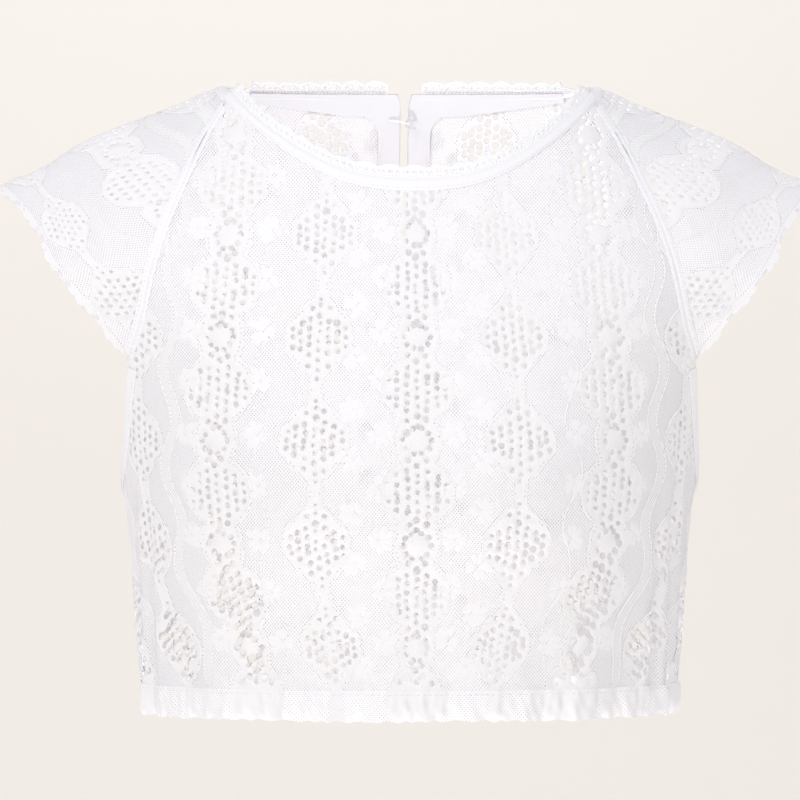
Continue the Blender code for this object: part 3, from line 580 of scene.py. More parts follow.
def wear(piece, solid=None):
    """The piece rides on the blouse's one body, and may stand for a solid."""
    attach(piece, "root")
    if solid:
        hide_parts(solid)


def add_material(name):
    """A new material, its nodes and its shader."""
    material = bpy.data.materials.new(name)
    material.use_nodes = True
    return material, material.node_tree, material.node_tree.nodes["Principled BSDF"]


def node(tree, kind, **inputs):
    """A shader node with its plain inputs filled in by name."""
    made = tree.nodes.new(kind)
    for key, value in inputs.items():
        key = key.replace("_", " ")
        if isinstance(value, bpy.types.NodeSocket):
            tree.links.new(value, made.inputs[key])
        else:
            made.inputs[key].default_value = value
    return made


def reckon(tree, operation, *values):
    """A math node of the given operation."""
    made = tree.nodes.new("ShaderNodeMath")
    made.operation = operation
    for slot, value in zip(made.inputs, values):
        if isinstance(value, bpy.types.NodeSocket):
            tree.links.new(value, slot)
        else:
            slot.default_value = value
    return made.outputs[0]


def ease(tree, value, low, high, to_low=0.0, to_high=1.0):
    """A smooth step of value from low to high."""
    made = tree.nodes.new("ShaderNodeMapRange")
    made.interpolation_type = "SMOOTHSTEP"
    tree.links.new(value, made.inputs["Value"])
    made.inputs["From Min"].default_value = low
    made.inputs["From Max"].default_value = high
    made.inputs["To Min"].default_value = to_low
    made.inputs["To Max"].default_value = to_high
    return made.outputs["Result"]


def blend(tree, share, first, second):
    """A colour between two others, each one plain or from another node."""
    made = tree.nodes.new("ShaderNodeMix")
    made.data_type = "RGBA"
    tree.links.new(share, made.inputs[0])
    for slot, colour in ((made.inputs[6], first), (made.inputs[7], second)):
        if isinstance(colour, bpy.types.NodeSocket):
            tree.links.new(colour, slot)
        else:
            slot.default_value = (*colour, 1)
    return made.outputs[2]


def mark_of(tree, name):
    """What the cloth's mark of this name says."""
    made = tree.nodes.new("ShaderNodeAttribute")
    made.attribute_name = name
    return made.outputs["Fac"]


def laid_flat(tree):
    """Places on the cloth laid flat."""
    made = tree.nodes.new("ShaderNodeUVMap")
    made.uv_map = "cloth"
    return made.outputs[0]


def thread_surface(tree, shader, colour, height, fibre, bump, rough, sheen):
    """Colour, relief, uneven roughness and soft sheen of thread."""
    relief = node(tree, "ShaderNodeBump", Height=height, Strength=bump[0], Distance=bump[1])
    tree.links.new(relief.outputs[0], shader.inputs["Normal"])
    tree.links.new(colour, shader.inputs["Base Color"])
    tree.links.new(ease(tree, fibre, 0.3, 0.7, *rough), shader.inputs["Roughness"])
    shader.inputs["Sheen Weight"].default_value = sheen[0]
    shader.inputs["Sheen Roughness"].default_value = sheen[1]


WHITE_THREAD = (0.874, 0.862, 0.890)
# Painted shade: the net's colour darkens to this on the low parts between its threads
THREAD_PAINTED_SHADE = (0.828, 0.815, 0.852)
FILLED_LACE = (0.806, 0.795, 0.812)
NET_PITCH = 0.0175
# The dense wavy vine between two outer columns, in parts of the space between them
VINE_MIDDLE = 0.55
VINE_SWING = 0.085
VINE_HALF = 0.062
VINE_FROM = 2.0


def lace_material(name, open_net=0.70, filled_colour=FILLED_LACE):
    """White stretch lace: a fine diagonal net between dense openwork columns."""
    material, tree, shader = add_material(name)
    layout = laid_flat(tree)
    wobble = node(tree, "ShaderNodeTexNoise", Vector=layout, Scale=14.0, Detail=1.0)
    shift = node(tree, "ShaderNodeVectorMath")
    shift.operation = "MULTIPLY_ADD"
    tree.links.new(wobble.outputs["Color"], shift.inputs[0])
    shift.inputs[1].default_value = (0.012, 0.012, 0.0)
    tree.links.new(layout, shift.inputs[2])
    apart = node(tree, "ShaderNodeSeparateXYZ", Vector=shift.outputs[0])
    x, z = apart.outputs["X"], apart.outputs["Y"]
    rise = reckon(tree, "MULTIPLY", z, 0.86)
    diagonals = []
    for way in ("ADD", "SUBTRACT"):
        turn = reckon(tree, "MULTIPLY", reckon(tree, way, x, rise), math.pi / NET_PITCH)
        diagonals.append(reckon(tree, "ABSOLUTE", reckon(tree, "SINE", turn)))
    nearest = reckon(tree, "MINIMUM", *diagonals)
    thread = ease(tree, nearest, open_net - 0.12, open_net + 0.12, 1.0, 0.0)
    at = reckon(tree, "ABSOLUTE", mark_of(tree, "column"))
    swing = reckon(tree, "SINE", reckon(tree, "MULTIPLY", mark_of(tree, "run"), 2 * math.pi / REPEAT))
    swing = reckon(tree, "MULTIPLY", swing, VINE_SWING)
    band = reckon(tree, "SUBTRACT", reckon(tree, "FRACT", at), VINE_MIDDLE)
    band = reckon(tree, "ABSOLUTE", reckon(tree, "SUBTRACT", band, swing))
    band = ease(tree, band, VINE_HALF - 0.02, VINE_HALF, 1.0, 0.0)
    band = reckon(tree, "MULTIPLY", band, reckon(tree, "GREATER_THAN", at, VINE_FROM))
    cover = ease(tree, mark_of(tree, "dense"), 0.25, 0.6)
    cover = reckon(tree, "MAXIMUM", cover, reckon(tree, "MULTIPLY", band, 0.85))
    tree.links.new(reckon(tree, "MAXIMUM", thread, cover), shader.inputs["Alpha"])
    fibre = node(tree, "ShaderNodeTexNoise", Vector=layout, Scale=150.0, Detail=2.0, Roughness=0.6)
    fibre = fibre.outputs["Fac"]
    height = reckon(tree, "MULTIPLY", thread, 0.6)
    height = reckon(tree, "ADD", height, reckon(tree, "MULTIPLY", fibre, 0.5))
    # Painted shade: darker on the low parts between the net's threads; the fibre noise adds uneven tone
    colour = blend(tree, ease(tree, height, 0.15, 0.62), THREAD_PAINTED_SHADE, WHITE_THREAD)
    colour = blend(tree, reckon(tree, "MULTIPLY", cover, 0.8), colour, filled_colour)
    thread_surface(tree, shader, colour, height, fibre, (0.55, 0.0003), (0.72, 0.88), (0.25, 0.4))
    return material


LACE = lace_material("white_stretch_lace")
LACE_WALL = 0.0006
LACE_SPACING = 0.0031
BODY_MIDDLE = (0.0, 0.0, -0.15)
EVERY_COLUMN = range(-4, 5)
PRICKED_COLUMNS = range(-2, 3)
# Over this distance the openwork's edge fades into the net
DENSE_FADE = 0.0010


def dense_at(flat):
    """How solid the cloth is: 1 in the openwork columns, 0 on the net."""
    s, z = flat[:, 0] / spread(flat[:, 1]), flat[:, 1]
    column = np.round(s / COLUMN).astype(int)
    off = np.abs(s - column * COLUMN)
    half = np.where(column % 2 == 0, column_half(0, z), column_half(1, z))
    return np.clip((half - off) / DENSE_FADE + 0.5, 0, 1)


def body_marks(flat, dense):
    """Marks of a body piece that the lace's material reads."""
    return {"dense": dense, "column": flat[:, 0] / spread(flat[:, 1]) / COLUMN, "run": flat[:, 1]}


def lace_panel(name, back, outline, folds, seed):
    """A body panel of lace with its gaps."""
    gaps = lace_gaps(EVERY_COLUMN, HEM_Z, 0.02, seed)
    pricks = edge_gaps(PRICKED_COLUMNS, HEM_Z, 0.0)
    flat, height, faces = cut_lace(outline, gaps, pricks, LACE_SPACING)
    points = body_cloth(flat[:, 0], flat[:, 1], back, height, folds)
    marks = body_marks(flat, dense_at(flat))
    return add_piece(name, points, faces, LACE, flat, marks, LACE_WALL, BODY_MIDDLE)


# Raised threads of the lace: a cord round the openwork of each column, cords
# along the vines, and small filled leaves on the net between them
CORD_RADIUS = 0.00034
CORD_STEP = 0.0017
CORD_ROOM = 0.0014
VINE_CORD_RADIUS = CORD_RADIUS * 0.9
VINE_STEP = 0.0019
CORD_PROFILE = ((-1.0, 0.0), (-0.6, 0.8), (0.0, 1.1), (0.6, 0.8), (1.0, 0.0))
VINE_COLUMNS = (1, 2, 3)
# Petals of a blossom: angle from the way it faces, and length in millimetres
BLOSSOM = ((-88, 6.0), (-50, 7.4), (-14, 7.0), (24, 7.8), (62, 6.4), (105, 5.4), (165, 4.6), (215, 5.0))
PETAL_WIDTH = 0.0036
PETAL_LIFT = 0.00016
BLOSSOM_HEART = 0.0009
BLOSSOM_ROOM = 0.0075
BLOSSOM_TOP_Z = -0.020
# How unevenly blossoms and dots lie, and their petals' turn in degrees and length
UNEVEN_PLACE = 0.0008
UNEVEN_TURN = 9
UNEVEN_LONG = 0.10
UNEVEN_DOT = 0.015
# Blossoms stand on either side of the middle between two columns, the outer ones in one row
BLOSSOM_SWING = (0.12, 0.06)
BLOSSOM_OUTER = 2.34
# Small raised dots on the net, as shares across and along the space of one repeat
DOTS = (
    (0.36, 0.04), (0.64, 0.11), (0.47, 0.19), (0.58, 0.33), (0.40, 0.41),
    (0.66, 0.52), (0.35, 0.60), (0.52, 0.71), (0.62, 0.83), (0.42, 0.92),
)
DOT_LONG = 0.0017
DOT_WIDE = 0.0014
DOT_ROOM = 0.0025


def tube_faces(start, rings, sides):
    """Faces of a closed tube, its rings of points one after another from start."""
    faces = []
    for k in range(rings - 1):
        for c in range(sides):
            a = start + k * sides + c
            b = start + k * sides + (c + 1) % sides
            faces.append((a, b, b + sides, a + sides))
    faces.append(tuple(start + c for c in reversed(range(sides))))
    faces.append(tuple(start + (rings - 1) * sides + c for c in range(sides)))
    return faces


def cord_relief(line, radius, points, faces):
    """Adds a half-round cord along a line on the flat cloth, as (across, up, height)."""
    ahead = unit(np.gradient(line, axis=0))
    across = np.stack([-ahead[:, 1], ahead[:, 0]], axis=1)
    faces += tube_faces(len(points), len(line), len(CORD_PROFILE))
    for place, way in zip(line, across):
        for off, high in CORD_PROFILE:
            points.append((*(place + way * off * radius), high * radius))


def petal_relief(place, angle, length, width, high, points, faces):
    """Adds a low rounded petal that starts at a place on the flat cloth."""
    way = np.array([math.cos(angle), math.sin(angle)])
    side = np.array([-way[1], way[0]])
    start, sides = len(points), 10
    for share, up in ((1.0, 0.0), (0.62, 0.85)):
        for k in range(sides):
            a = 2 * math.pi * k / sides
            along = 0.5 + 0.5 * share * math.cos(a)
            off = 0.5 * share * math.sin(a) * (1 + 0.25 * math.cos(a))
            points.append((*(place + way * length * along + side * width * off), up * high))
    points.append((*(place + way * length * 0.5), high))
    for k in range(sides):
        n = (k + 1) % sides
        faces.append((start + k, start + n, start + sides + n, start + sides + k))
        faces.append((start + sides + k, start + sides + n, start + 2 * sides))
    faces.append(tuple(start + k for k in reversed(range(sides))))


def even_line(line, step):
    """The line's points again, about a step apart."""
    return even_steps(line, max(4, round(run_along(line)[-1] / step)))


def cords_inside(line, step, radius, outline, points, faces):
    """Adds cords along the parts of a line that lie well inside an outline."""
    line = even_line(line, step)
    good = inside(line, outline) & (edge_distance(line, outline) > CORD_ROOM)
    breaks = np.flatnonzero(np.diff(good.astype(int))) + 1
    for part, keep in zip(np.split(line, breaks), np.split(good, breaks)):
        if keep[0] and len(part) > 3:
            cord_relief(part, radius, points, faces)


def vine_edges(column):
    """A vine is one cord beside the middle column, and a band of two further out."""
    return (0,) if column == 1 else (1, -1)


def well_inside(place, outline, room):
    """Whether a place has this much cloth all round it."""
    return inside(place[None], outline)[0] and edge_distance(place[None], outline)[0] > room


def vine_at(z, side):
    """Where the two cords of a vine run, in parts of the space between two columns."""
    return VINE_MIDDLE + VINE_SWING * np.sin(2 * math.pi * z / REPEAT) + side * VINE_HALF


def body_relief(outline, seed):
    """The raised threads of a body panel on the flat cloth."""
    draw = np.random.default_rng(seed)
    points, faces = [], []
    z = np.arange(CASING_TOP_Z, 0.01, 0.0004)
    for column in EVERY_COLUMN:
        half = column_half(column, z)
        for side in (1, -1):
            line = np.stack([(column * COLUMN + side * half) * spread(z), z], axis=1)
            cords_inside(line, CORD_STEP, CORD_RADIUS, outline, points, faces)
    for column in VINE_COLUMNS:
        for side in (1, -1):
            for edge in vine_edges(column):
                at = side * (column + vine_at(z, edge)) * COLUMN
                line = np.stack([at * spread(z), z], axis=1)
                cords_inside(line, VINE_STEP, VINE_CORD_RADIUS, outline, points, faces)
    for number, middle_z in enumerate(np.arange(BLOSSOM_TOP_Z, CASING_TOP_Z, -REPEAT / 4)):
        for column in range(3):
            for side in (1, -1):
                zig = 1 if (number + column) % 2 else -1
                at = BLOSSOM_OUTER if column == 2 else column + 0.5 + zig * BLOSSOM_SWING[column]
                if column and number % 2:
                    continue
                z_off = draw.normal(0, UNEVEN_PLACE)
                place = np.array([side * at * COLUMN * spread(middle_z), middle_z + z_off])
                if not well_inside(place, outline, BLOSSOM_ROOM):
                    continue
                for degrees, long in BLOSSOM:
                    angle = math.radians(degrees + draw.normal(0, UNEVEN_TURN))
                    way = angle if zig * side > 0 else math.pi - angle
                    begin = place + BLOSSOM_HEART * np.array([math.cos(way), math.sin(way)])
                    long = long * MM * (1 + draw.normal(0, UNEVEN_LONG))
                    petal_relief(begin, way, long, PETAL_WIDTH, PETAL_LIFT, points, faces)
    for repeat in range(7):
        for column in range(3):
            for side in (1, -1):
                for across, along in DOTS:
                    middle_z = -(repeat + along) * REPEAT + draw.normal(0, UNEVEN_PLACE)
                    at = side * (column + across + draw.normal(0, UNEVEN_DOT)) * COLUMN
                    place = np.array([at * spread(middle_z), middle_z])
                    if well_inside(place, outline, DOT_ROOM):
                        way = draw.uniform(0, 6.28)
                        petal_relief(place, way, DOT_LONG, DOT_WIDE, PETAL_LIFT, points, faces)
    return np.array(points), faces


def add_relief(name, flat, points, faces, center):
    """The raised threads as a piece of their own, sewn to the lace."""
    piece = add_piece(name, points, faces, RAISED, flat[:, :2], None, 0.0, center)
    piece.data.set_sharp_from_angle(angle=math.radians(60))
    wear(piece)
    return piece


def raised_material(name):
    """The thicker, softly shining thread of the raised cords and leaves."""
    material, tree, shader = add_material(name)
    fibre = node(tree, "ShaderNodeTexNoise", Vector=laid_flat(tree), Scale=220.0, Detail=3.0)
    fibre = fibre.outputs["Fac"]
    colour = blend(tree, ease(tree, fibre, 0.25, 0.6), (0.782, 0.771, 0.797), (0.826, 0.814, 0.840))
    thread_surface(tree, shader, colour, fibre, fibre, (0.5, 0.0002), (0.55, 0.75), (0.3, 0.35))
    return material


RAISED = raised_material("white_raised_thread")


def dressed_panel(place, back, outline, folds, seeds):
    """A body panel with its raised threads."""
    panel = lace_panel(f"{place}_lace", back, outline, folds, seeds[0])
    wear(panel, f"{place}_panel")
    threads, faces = body_relief(outline, seeds[1])
    points = body_cloth(threads[:, 0], threads[:, 1], back, threads[:, 2] + LACE_WALL / 2, folds)
    return panel, add_relief(f"{place}_raised_threads", threads, points, faces, BODY_MIDDLE)


front, raised = dressed_panel("front", False, panel_outline(False), FRONT_FOLDS, (3, 21))


# Back panel
# The same lace as the front, cut in one piece with a slit from the neck down
# the middle, which lets the head through.

SLIT_HALF = 0.0020
SLIT_TOP_HALF = 0.0036
SLIT_FLARE = 0.0080
SLIT_BOTTOM_Z = -0.0950
BACK_FOLDS = tuple((-a, -b, top + 0.004, w * 1.05, d * 0.9) for a, b, top, w, d in FRONT_FOLDS)

slit_z = np.linspace(NECK_BACK_RISE, SLIT_BOTTOM_Z, 40)
slit_half = np.interp(slit_z, [NECK_BACK_RISE - SLIT_FLARE, NECK_BACK_RISE], [SLIT_HALF, SLIT_TOP_HALF])
slit_line = np.vstack([np.stack([slit_half, slit_z], axis=1), [(0.0, SLIT_BOTTOM_Z - SLIT_HALF)]])
back, raised = dressed_panel("back", True, panel_outline(True, slit_line), BACK_FOLDS, (5, 22))


# Cap sleeves
# The same lace, cut so that its scalloped border runs round the arm. Each
# sleeve is sewn between front and back along two raglan seams.

# Outer edge, from the front corner at the armhole up to the tip of the sleeve
SLEEVE_EDGE = np.array([
    (0.1480, 0.0520, -0.1410),
    (0.1585, 0.0580, -0.1270),
    (0.1690, 0.0590, -0.1130),
    (0.1810, 0.0550, -0.0990),
    (0.1900, 0.0470, -0.0850),
    (0.1960, 0.0360, -0.0710),
    (0.2060, 0.0230, -0.0585),
    (0.2135, 0.0100, -0.0505),
    (0.2155, 0.0000, -0.0490),
])
SEAM_LEAN = 0.75
SLEEVE_CROWN = 0.0068
BORDER_RUN = 0.05
SCALLOP_PITCH = 0.0075
SCALLOP_DEPTH = 0.0016
WAVE_PITCH = 0.0265
WAVE_DEPTH = 0.0024
SLEEVE_LONG = 0.135


def smooth_line(points, at):
    """A smooth curve through points, read at their numbers."""
    number = np.arange(len(points), dtype=float)
    return np.stack([through(number, points[:, i], at) for i in range(points.shape[1])], axis=1)


def seam_places(back, count):
    """Places (s, z) down the left raglan seam, to the sleeve's corner."""
    z = np.linspace(NECK_BACK_SEAM_Z if back else 0.0, SLEEVE_CORNER_Z, count)
    edge = raglan_edge(back, 240)
    return np.interp(-z, -edge[:-1, 1], edge[:-1, 0]), z


def seam_line(back):
    """Points down the left raglan seam, from the neck to the sleeve's corner."""
    return body_cloth(*seam_places(back, 60), back)


def sleeve_border():
    """Points of the left sleeve's outer edge, front to back."""
    keys = np.vstack([SLEEVE_EDGE * (1, -1, 1), SLEEVE_EDGE[::-1][1:]])
    return smooth_line(keys, np.linspace(0, len(keys) - 1, 240))


def over_shoulder():
    """Points of the left sleeve's neck edge, front to back."""
    front, back = seam_line(False)[0], seam_line(True)[0]
    t = np.linspace(0, 1, 30)[:, None]
    return front + (back - front) * t + 4 * t * (1 - t) * np.array([0.0045, 0.0, 0.0015])


SLEEVE_FRONT = even_steps(seam_line(False), 201)
SLEEVE_BACK = even_steps(seam_line(True), 201)
SLEEVE_NECK = even_steps(over_shoulder(), 201)
SLEEVE_OUT = even_steps(sleeve_border(), 201)


def along_curve(curve, t):
    """Points of an evenly stepped curve at shares of its length."""
    return read_line(curve, np.linspace(0, 1, len(curve)), t)


def between_edges(down, turn):
    """Points between the left sleeve's four edges: down from the neck, turn from the front seam."""
    d = np.asarray(down, float)[..., None]
    t = np.asarray(turn, float)[..., None]
    across = (1 - t) * along_curve(SLEEVE_FRONT, d[..., 0]) + t * along_curve(SLEEVE_BACK, d[..., 0])
    along = (1 - d) * along_curve(SLEEVE_NECK, t[..., 0]) + d * along_curve(SLEEVE_OUT, t[..., 0])
    corners = (1 - d) * ((1 - t) * SLEEVE_NECK[0] + t * SLEEVE_NECK[-1])
    return across + along - corners - d * ((1 - t) * SLEEVE_OUT[0] + t * SLEEVE_OUT[-1])


def lean_of(back):
    """What the sleeve lacks, along a seam, to leave it in line with the body."""
    s, z = seam_places(back, 201)
    run = unit(np.stack([np.gradient(s), np.gradient(z)], axis=1))
    step = 0.002
    past = unit(body_cloth(s - run[:, 1] * step, z + run[:, 0] * step, back) - body_cloth(s, z, back))
    down = np.linspace(0, 1, 201)
    at, near = (1.0, 0.999) if back else (0.0, 0.001)
    slope = (between_edges(down, np.full(201, near)) - between_edges(down, np.full(201, at))) / 0.001
    return past * np.linalg.norm(slope, axis=1)[:, None] - slope


LEAN_FRONT = lean_of(False)
LEAN_BACK = lean_of(True)


def sleeve_within(down, turn):
    """Points of the left sleeve between its edges, in line with the body at the seams."""
    d = np.asarray(down, float)[..., None]
    t = np.asarray(turn, float)[..., None]
    share = SEAM_LEAN * np.clip(d / 0.15, 0, 1) * (1 - d**3)
    bend = t * (1 - t) ** 2 * along_curve(LEAN_FRONT, d[..., 0])
    bend = share * (bend + t * t * (1 - t) * along_curve(LEAN_BACK, d[..., 0]))
    swell = np.sin(math.pi * d**1.6) * 4 * t * (1 - t)
    crown = SLEEVE_CROWN * swell * np.array([0.3, 0.0, 1.0])
    return between_edges(down, turn) + bend + crown


def sleeve_cloth(down, turn, side=1):
    """Points of a sleeve: down is 0 at the neck and 1 at the border, turn is 0 at the front seam."""
    down = np.asarray(down, float)
    border = np.ones_like(down)
    ahead = sleeve_within(border, turn) - sleeve_within(border - BORDER_RUN, turn)
    past = np.maximum(down - 1, 0)[..., None] / BORDER_RUN
    return (sleeve_within(np.clip(down, 0, 1), turn) + past * ahead) * (side, 1, 1)


def lifted_sleeve(down, turn, side, lift):
    """Points of a sleeve raised off its cloth."""
    step = 0.004
    d0, d1 = np.clip(down - step, 0, 1), np.clip(down + step, 0, 1)
    t0, t1 = np.clip(turn - step, 0, 1), np.clip(turn + step, 0, 1)
    along = sleeve_cloth(d1, turn) - sleeve_cloth(d0, turn)
    across = sleeve_cloth(down, t1) - sleeve_cloth(down, t0)
    out = unit(np.cross(along, across))
    out = np.where(out[..., 2:] < 0, -out, out)
    return (sleeve_cloth(down, turn) + out * np.asarray(lift)[..., None]) * (side, 1, 1)


# The sleeve laid flat: its length down the arm, and its width at each height
LAY_DOWN = np.linspace(0, 1, 41)
turns = np.linspace(0, 1, 81)
LAY_WIDTH = np.array([length_of(sleeve_cloth(np.full(len(turns), down), turns)) for down in LAY_DOWN])


def laid_to_sleeve(flat):
    """From places on the flat sleeve (across, up from the border) to (down, turn)."""
    down = 1 - flat[:, 1] / SLEEVE_LONG
    width = np.interp(down, LAY_DOWN, LAY_WIDTH)
    return down, 0.5 + flat[:, 0] / width


def border_reach(turn):
    """How far the scalloped border reaches past its plain line."""
    long = LAY_WIDTH[-1]
    small = np.abs(np.sin(math.pi * turn * round(long / SCALLOP_PITCH)))
    large = 0.5 - 0.5 * np.cos(2 * math.pi * turn * round(long / WAVE_PITCH))
    fade = np.minimum(1, 14 * np.minimum(turn, 1 - turn))
    return (SCALLOP_DEPTH * small + WAVE_DEPTH * large) * fade


# Columns of the lace that run round the arm, up from the border
SLEEVE_COLUMNS = ((0.0205, 1), (0.0700, 0), (0.1170, 1))
SLEEVE_COLUMN_GAP = 0.0485
SLEEVE_OPENED = 1.12
SLEEVE_UNEVEN = 0.0002
SLEEVE_SPACING = 0.0046
IN_FROM_SEAM = 0.0004
BORDER_SOLID = 0.0030
BORDER_DENSE = 0.0026
RIM_IN = 0.0007
RIM_RADIUS = 0.0008
SIDES = (("left", 1), ("right", -1))


def sleeve_column_at(across, up):
    """Distance from the middle of the nearest column, and that column's half width."""
    off = np.full(len(across), 1.0)
    half = np.zeros(len(across))
    for middle, kind in SLEEVE_COLUMNS:
        away = np.abs(up - middle)
        nearer = away < off
        wide = column_half(kind, start_of(kind) + across)
        off = np.where(nearer, away, off)
        half = np.where(nearer, wide, half)
    return off, half


def sleeve_relief(outline, border_count):
    """The raised threads of a sleeve: cords, vines, and the thick edge of its scallops."""
    points, faces = [], []
    across = np.arange(-0.16, 0.16, 0.0004)
    for middle, kind in SLEEVE_COLUMNS:
        half = column_half(kind, start_of(kind) + across)
        for side in (1, -1):
            line = np.stack([across, middle + side * half], axis=1)
            cords_inside(line, CORD_STEP, CORD_RADIUS, outline, points, faces)
    for column in (1, 2):
        for edge in vine_edges(column):
            up = SLEEVE_COLUMNS[0][0] + (column - 1 + vine_at(across, edge)) * SLEEVE_COLUMN_GAP
            line = np.stack([across, up], axis=1)
            cords_inside(line, VINE_STEP, VINE_CORD_RADIUS, outline, points, faces)
    rim = moved_in(outline, RIM_IN)[2:border_count - 2]
    cord_relief(even_line(rim, 0.0012), RIM_RADIUS, points, faces)
    return np.array(points), faces


def sleeve_outline():
    """The flat sleeve's scalloped border, and its whole outline."""
    turn = np.linspace(0, 1, 561)
    low = np.stack([(turn - 0.5) * LAY_WIDTH[-1], -border_reach(turn)], axis=1)
    low[0, 0] += IN_FROM_SEAM
    low[-1, 0] -= IN_FROM_SEAM
    down = np.linspace(1, 0, 70)[1:]
    half = np.interp(down, LAY_DOWN, LAY_WIDTH) / 2 - IN_FROM_SEAM
    right = np.stack([half, (1 - down) * SLEEVE_LONG], axis=1)
    top = np.linspace(right[-1, 0], -right[-1, 0], 40)[1:-1]
    top = np.stack([top, np.full_like(top, SLEEVE_LONG)], axis=1)
    return low, np.vstack([low, right, top, right[::-1] * (-1, 1)])


def sleeve_gaps(seed):
    """Gaps of a sleeve's openwork, laid out like those of the body but turned."""
    draw = np.random.default_rng(seed)
    rows = []
    for middle, kind in SLEEVE_COLUMNS:
        for repeat in range(-4, 5):
            for across, up, radius in (ODD_GAPS if kind else EVEN_GAPS):
                for flip in ((1, -1) if across else (1,)):
                    a = repeat * REPEAT + up * MM + draw.normal(0, SLEEVE_UNEVEN)
                    b = middle + flip * across * MM + draw.normal(0, SLEEVE_UNEVEN)
                    if b > BORDER_SOLID:
                        wide = radius * MM * SLEEVE_OPENED
                        rows.append((a, b, wide, wide, draw.normal(0, UNEVEN_TILT)))
    return np.array(rows)


def sleeve_lace(name, side, seed):
    """A sleeve with its raised threads."""
    low, outline = sleeve_outline()
    flat, height, faces = cut_lace(outline, sleeve_gaps(seed), np.zeros((0, 2)), SLEEVE_SPACING)
    down, turn = laid_to_sleeve(flat)
    points = lifted_sleeve(down, turn, side, height)
    off, half = sleeve_column_at(flat[:, 0], flat[:, 1])
    dense = np.clip((half - off) / DENSE_FADE + 0.5, 0, 1)
    dense = np.maximum(dense, np.clip((BORDER_DENSE - flat[:, 1]) / DENSE_FADE, 0, 1))
    column = 1 + (flat[:, 1] - SLEEVE_COLUMNS[0][0]) / SLEEVE_COLUMN_GAP
    marks = {"dense": dense, "column": column, "run": flat[:, 0]}
    center = (side * 0.13, 0, -0.12)
    piece = add_piece(name, points, faces, LACE, flat, marks, LACE_WALL, center)
    threads, thread_faces = sleeve_relief(outline, len(low))
    down, turn = laid_to_sleeve(threads)
    on_sleeve = lifted_sleeve(down, turn, side, threads[:, 2] + LACE_WALL / 2)
    return piece, add_relief(f"{name}_raised_threads", threads, on_sleeve, thread_faces, center)


for side_name, side in SIDES:
    sleeve, raised = sleeve_lace(f"sleeve_lace_{side_name}", side, 11)
    wear(sleeve, f"sleeve_{side_name}")


# Raglan seams
# A flat smooth tape covers each seam between body and sleeve, with a row of
# small stitches along either edge.

PLACES = (("front", False), ("back", True))
TAPE_WALL = 0.0006
TAPE_LIFT = 0.0003
RAGLAN_TAPE = 0.0070
NECK_BAND = 0.0070
TAPE_START = 0.0028
# How full a tape is from edge to edge, as shares of its crown
TAPE_FULL = (0.0, 0.8, 1.0, 1.0, 1.0, 0.8, 0.0)
TAPE_CROWN = 0.0006
# Pitch, length and thickness of the small stitches
SEAM_STITCH = (0.0026, 0.0017, 0.00022)
FINE_STITCH = (0.0026, 0.0017, 0.0002)
# A stitch along its length: place, thickness, and how far it stands out of the cloth
STITCH_PROFILE = (
    (0.0, 0.35, -0.6),
    (0.22, 0.85, 0.25),
    (0.5, 1.0, 0.5),
    (0.78, 0.85, 0.25),
    (1.0, 0.35, -0.6),
)
STITCH_SIDES = 6


def tape_material(name, rib, painted_shade, light=WHITE_THREAD):
    """Smooth knitted tape with fine ribs along it, its colour darker in the low parts of the ribs as painted
    shade.
    """
    material, tree, shader = add_material(name)
    layout = laid_flat(tree)
    apart = node(tree, "ShaderNodeSeparateXYZ", Vector=layout)
    along = reckon(tree, "SINE", reckon(tree, "MULTIPLY", apart.outputs["X"], rib))
    across = reckon(tree, "SINE", reckon(tree, "MULTIPLY", apart.outputs["Y"], rib * 0.7))
    knit = reckon(tree, "MULTIPLY", along, across)
    fibre = node(tree, "ShaderNodeTexNoise", Vector=layout, Scale=60.0, Detail=3.0)
    fibre = fibre.outputs["Fac"]
    height = reckon(tree, "ADD", reckon(tree, "MULTIPLY", knit, 0.35), fibre)
    # Painted shade: the colour darkens in the low parts of the knit; the fibre noise adds uneven tone
    colour = blend(tree, ease(tree, height, 0.0, 1.0), painted_shade, light)
    thread_surface(tree, shader, colour, height, fibre, (0.45, 0.0002), (0.55, 0.72), (0.3, 0.35))
    return material


TAPE = tape_material("white_knit_tape", 900.0, (0.815, 0.806, 0.842), (0.868, 0.856, 0.885))
STITCHES = tape_material("white_sewing_thread", 2400.0, (0.74, 0.74, 0.77), (0.83, 0.825, 0.84))


def spread_rows(rows, steps_along, steps_across):
    """A finer grid through rows of points."""
    grid = np.array(rows, float)
    a = np.linspace(0, len(grid) - 1, steps_along)
    grid = np.stack([smooth_line(grid[:, j], a) for j in range(grid.shape[1])], axis=1)
    b = np.linspace(0, grid.shape[1] - 1, steps_across)
    low = np.clip(b.astype(int), 0, grid.shape[1] - 2)
    part = (b - low)[None, :, None]
    return grid[:, low] * (1 - part) + grid[:, low + 1] * part


def outward(grid, center):
    """Unit normals of a grid of points, away from a point inside the blouse."""
    out = unit(np.cross(np.gradient(grid, axis=0), np.gradient(grid, axis=1)))
    if np.sum(out * (grid - np.array(center))) < 0:
        out = -out
    return out


def grid_faces(rows, columns):
    """Faces of a grid of points, row after row."""
    corners = [r * columns + c for r in range(rows - 1) for c in range(columns - 1)]
    return [(a, a + 1, a + columns + 1, a + columns) for a in corners]


def laid_tape(name, solid, rows, width, center, lift=TAPE_LIFT, steps=90, crown=TAPE_CROWN):
    """A tape laid on the cloth, a little fuller along its middle.

    Returns it with its grid of points and their normals."""
    columns = len(TAPE_FULL)
    grid = spread_rows(rows, steps, columns)
    out = outward(grid, center)
    grid = grid + out * (lift + crown * np.array(TAPE_FULL)[None, :, None])
    along = run_along(grid[:, 3])
    flat = np.stack(np.meshgrid(along, np.linspace(0, width, columns), indexing="ij"), axis=-1).reshape(-1, 2)
    faces = grid_faces(steps, columns)
    piece = add_piece(name, grid.reshape(-1, 3), faces, TAPE, flat, None, TAPE_WALL, center)
    wear(piece, solid)
    return piece, grid, out


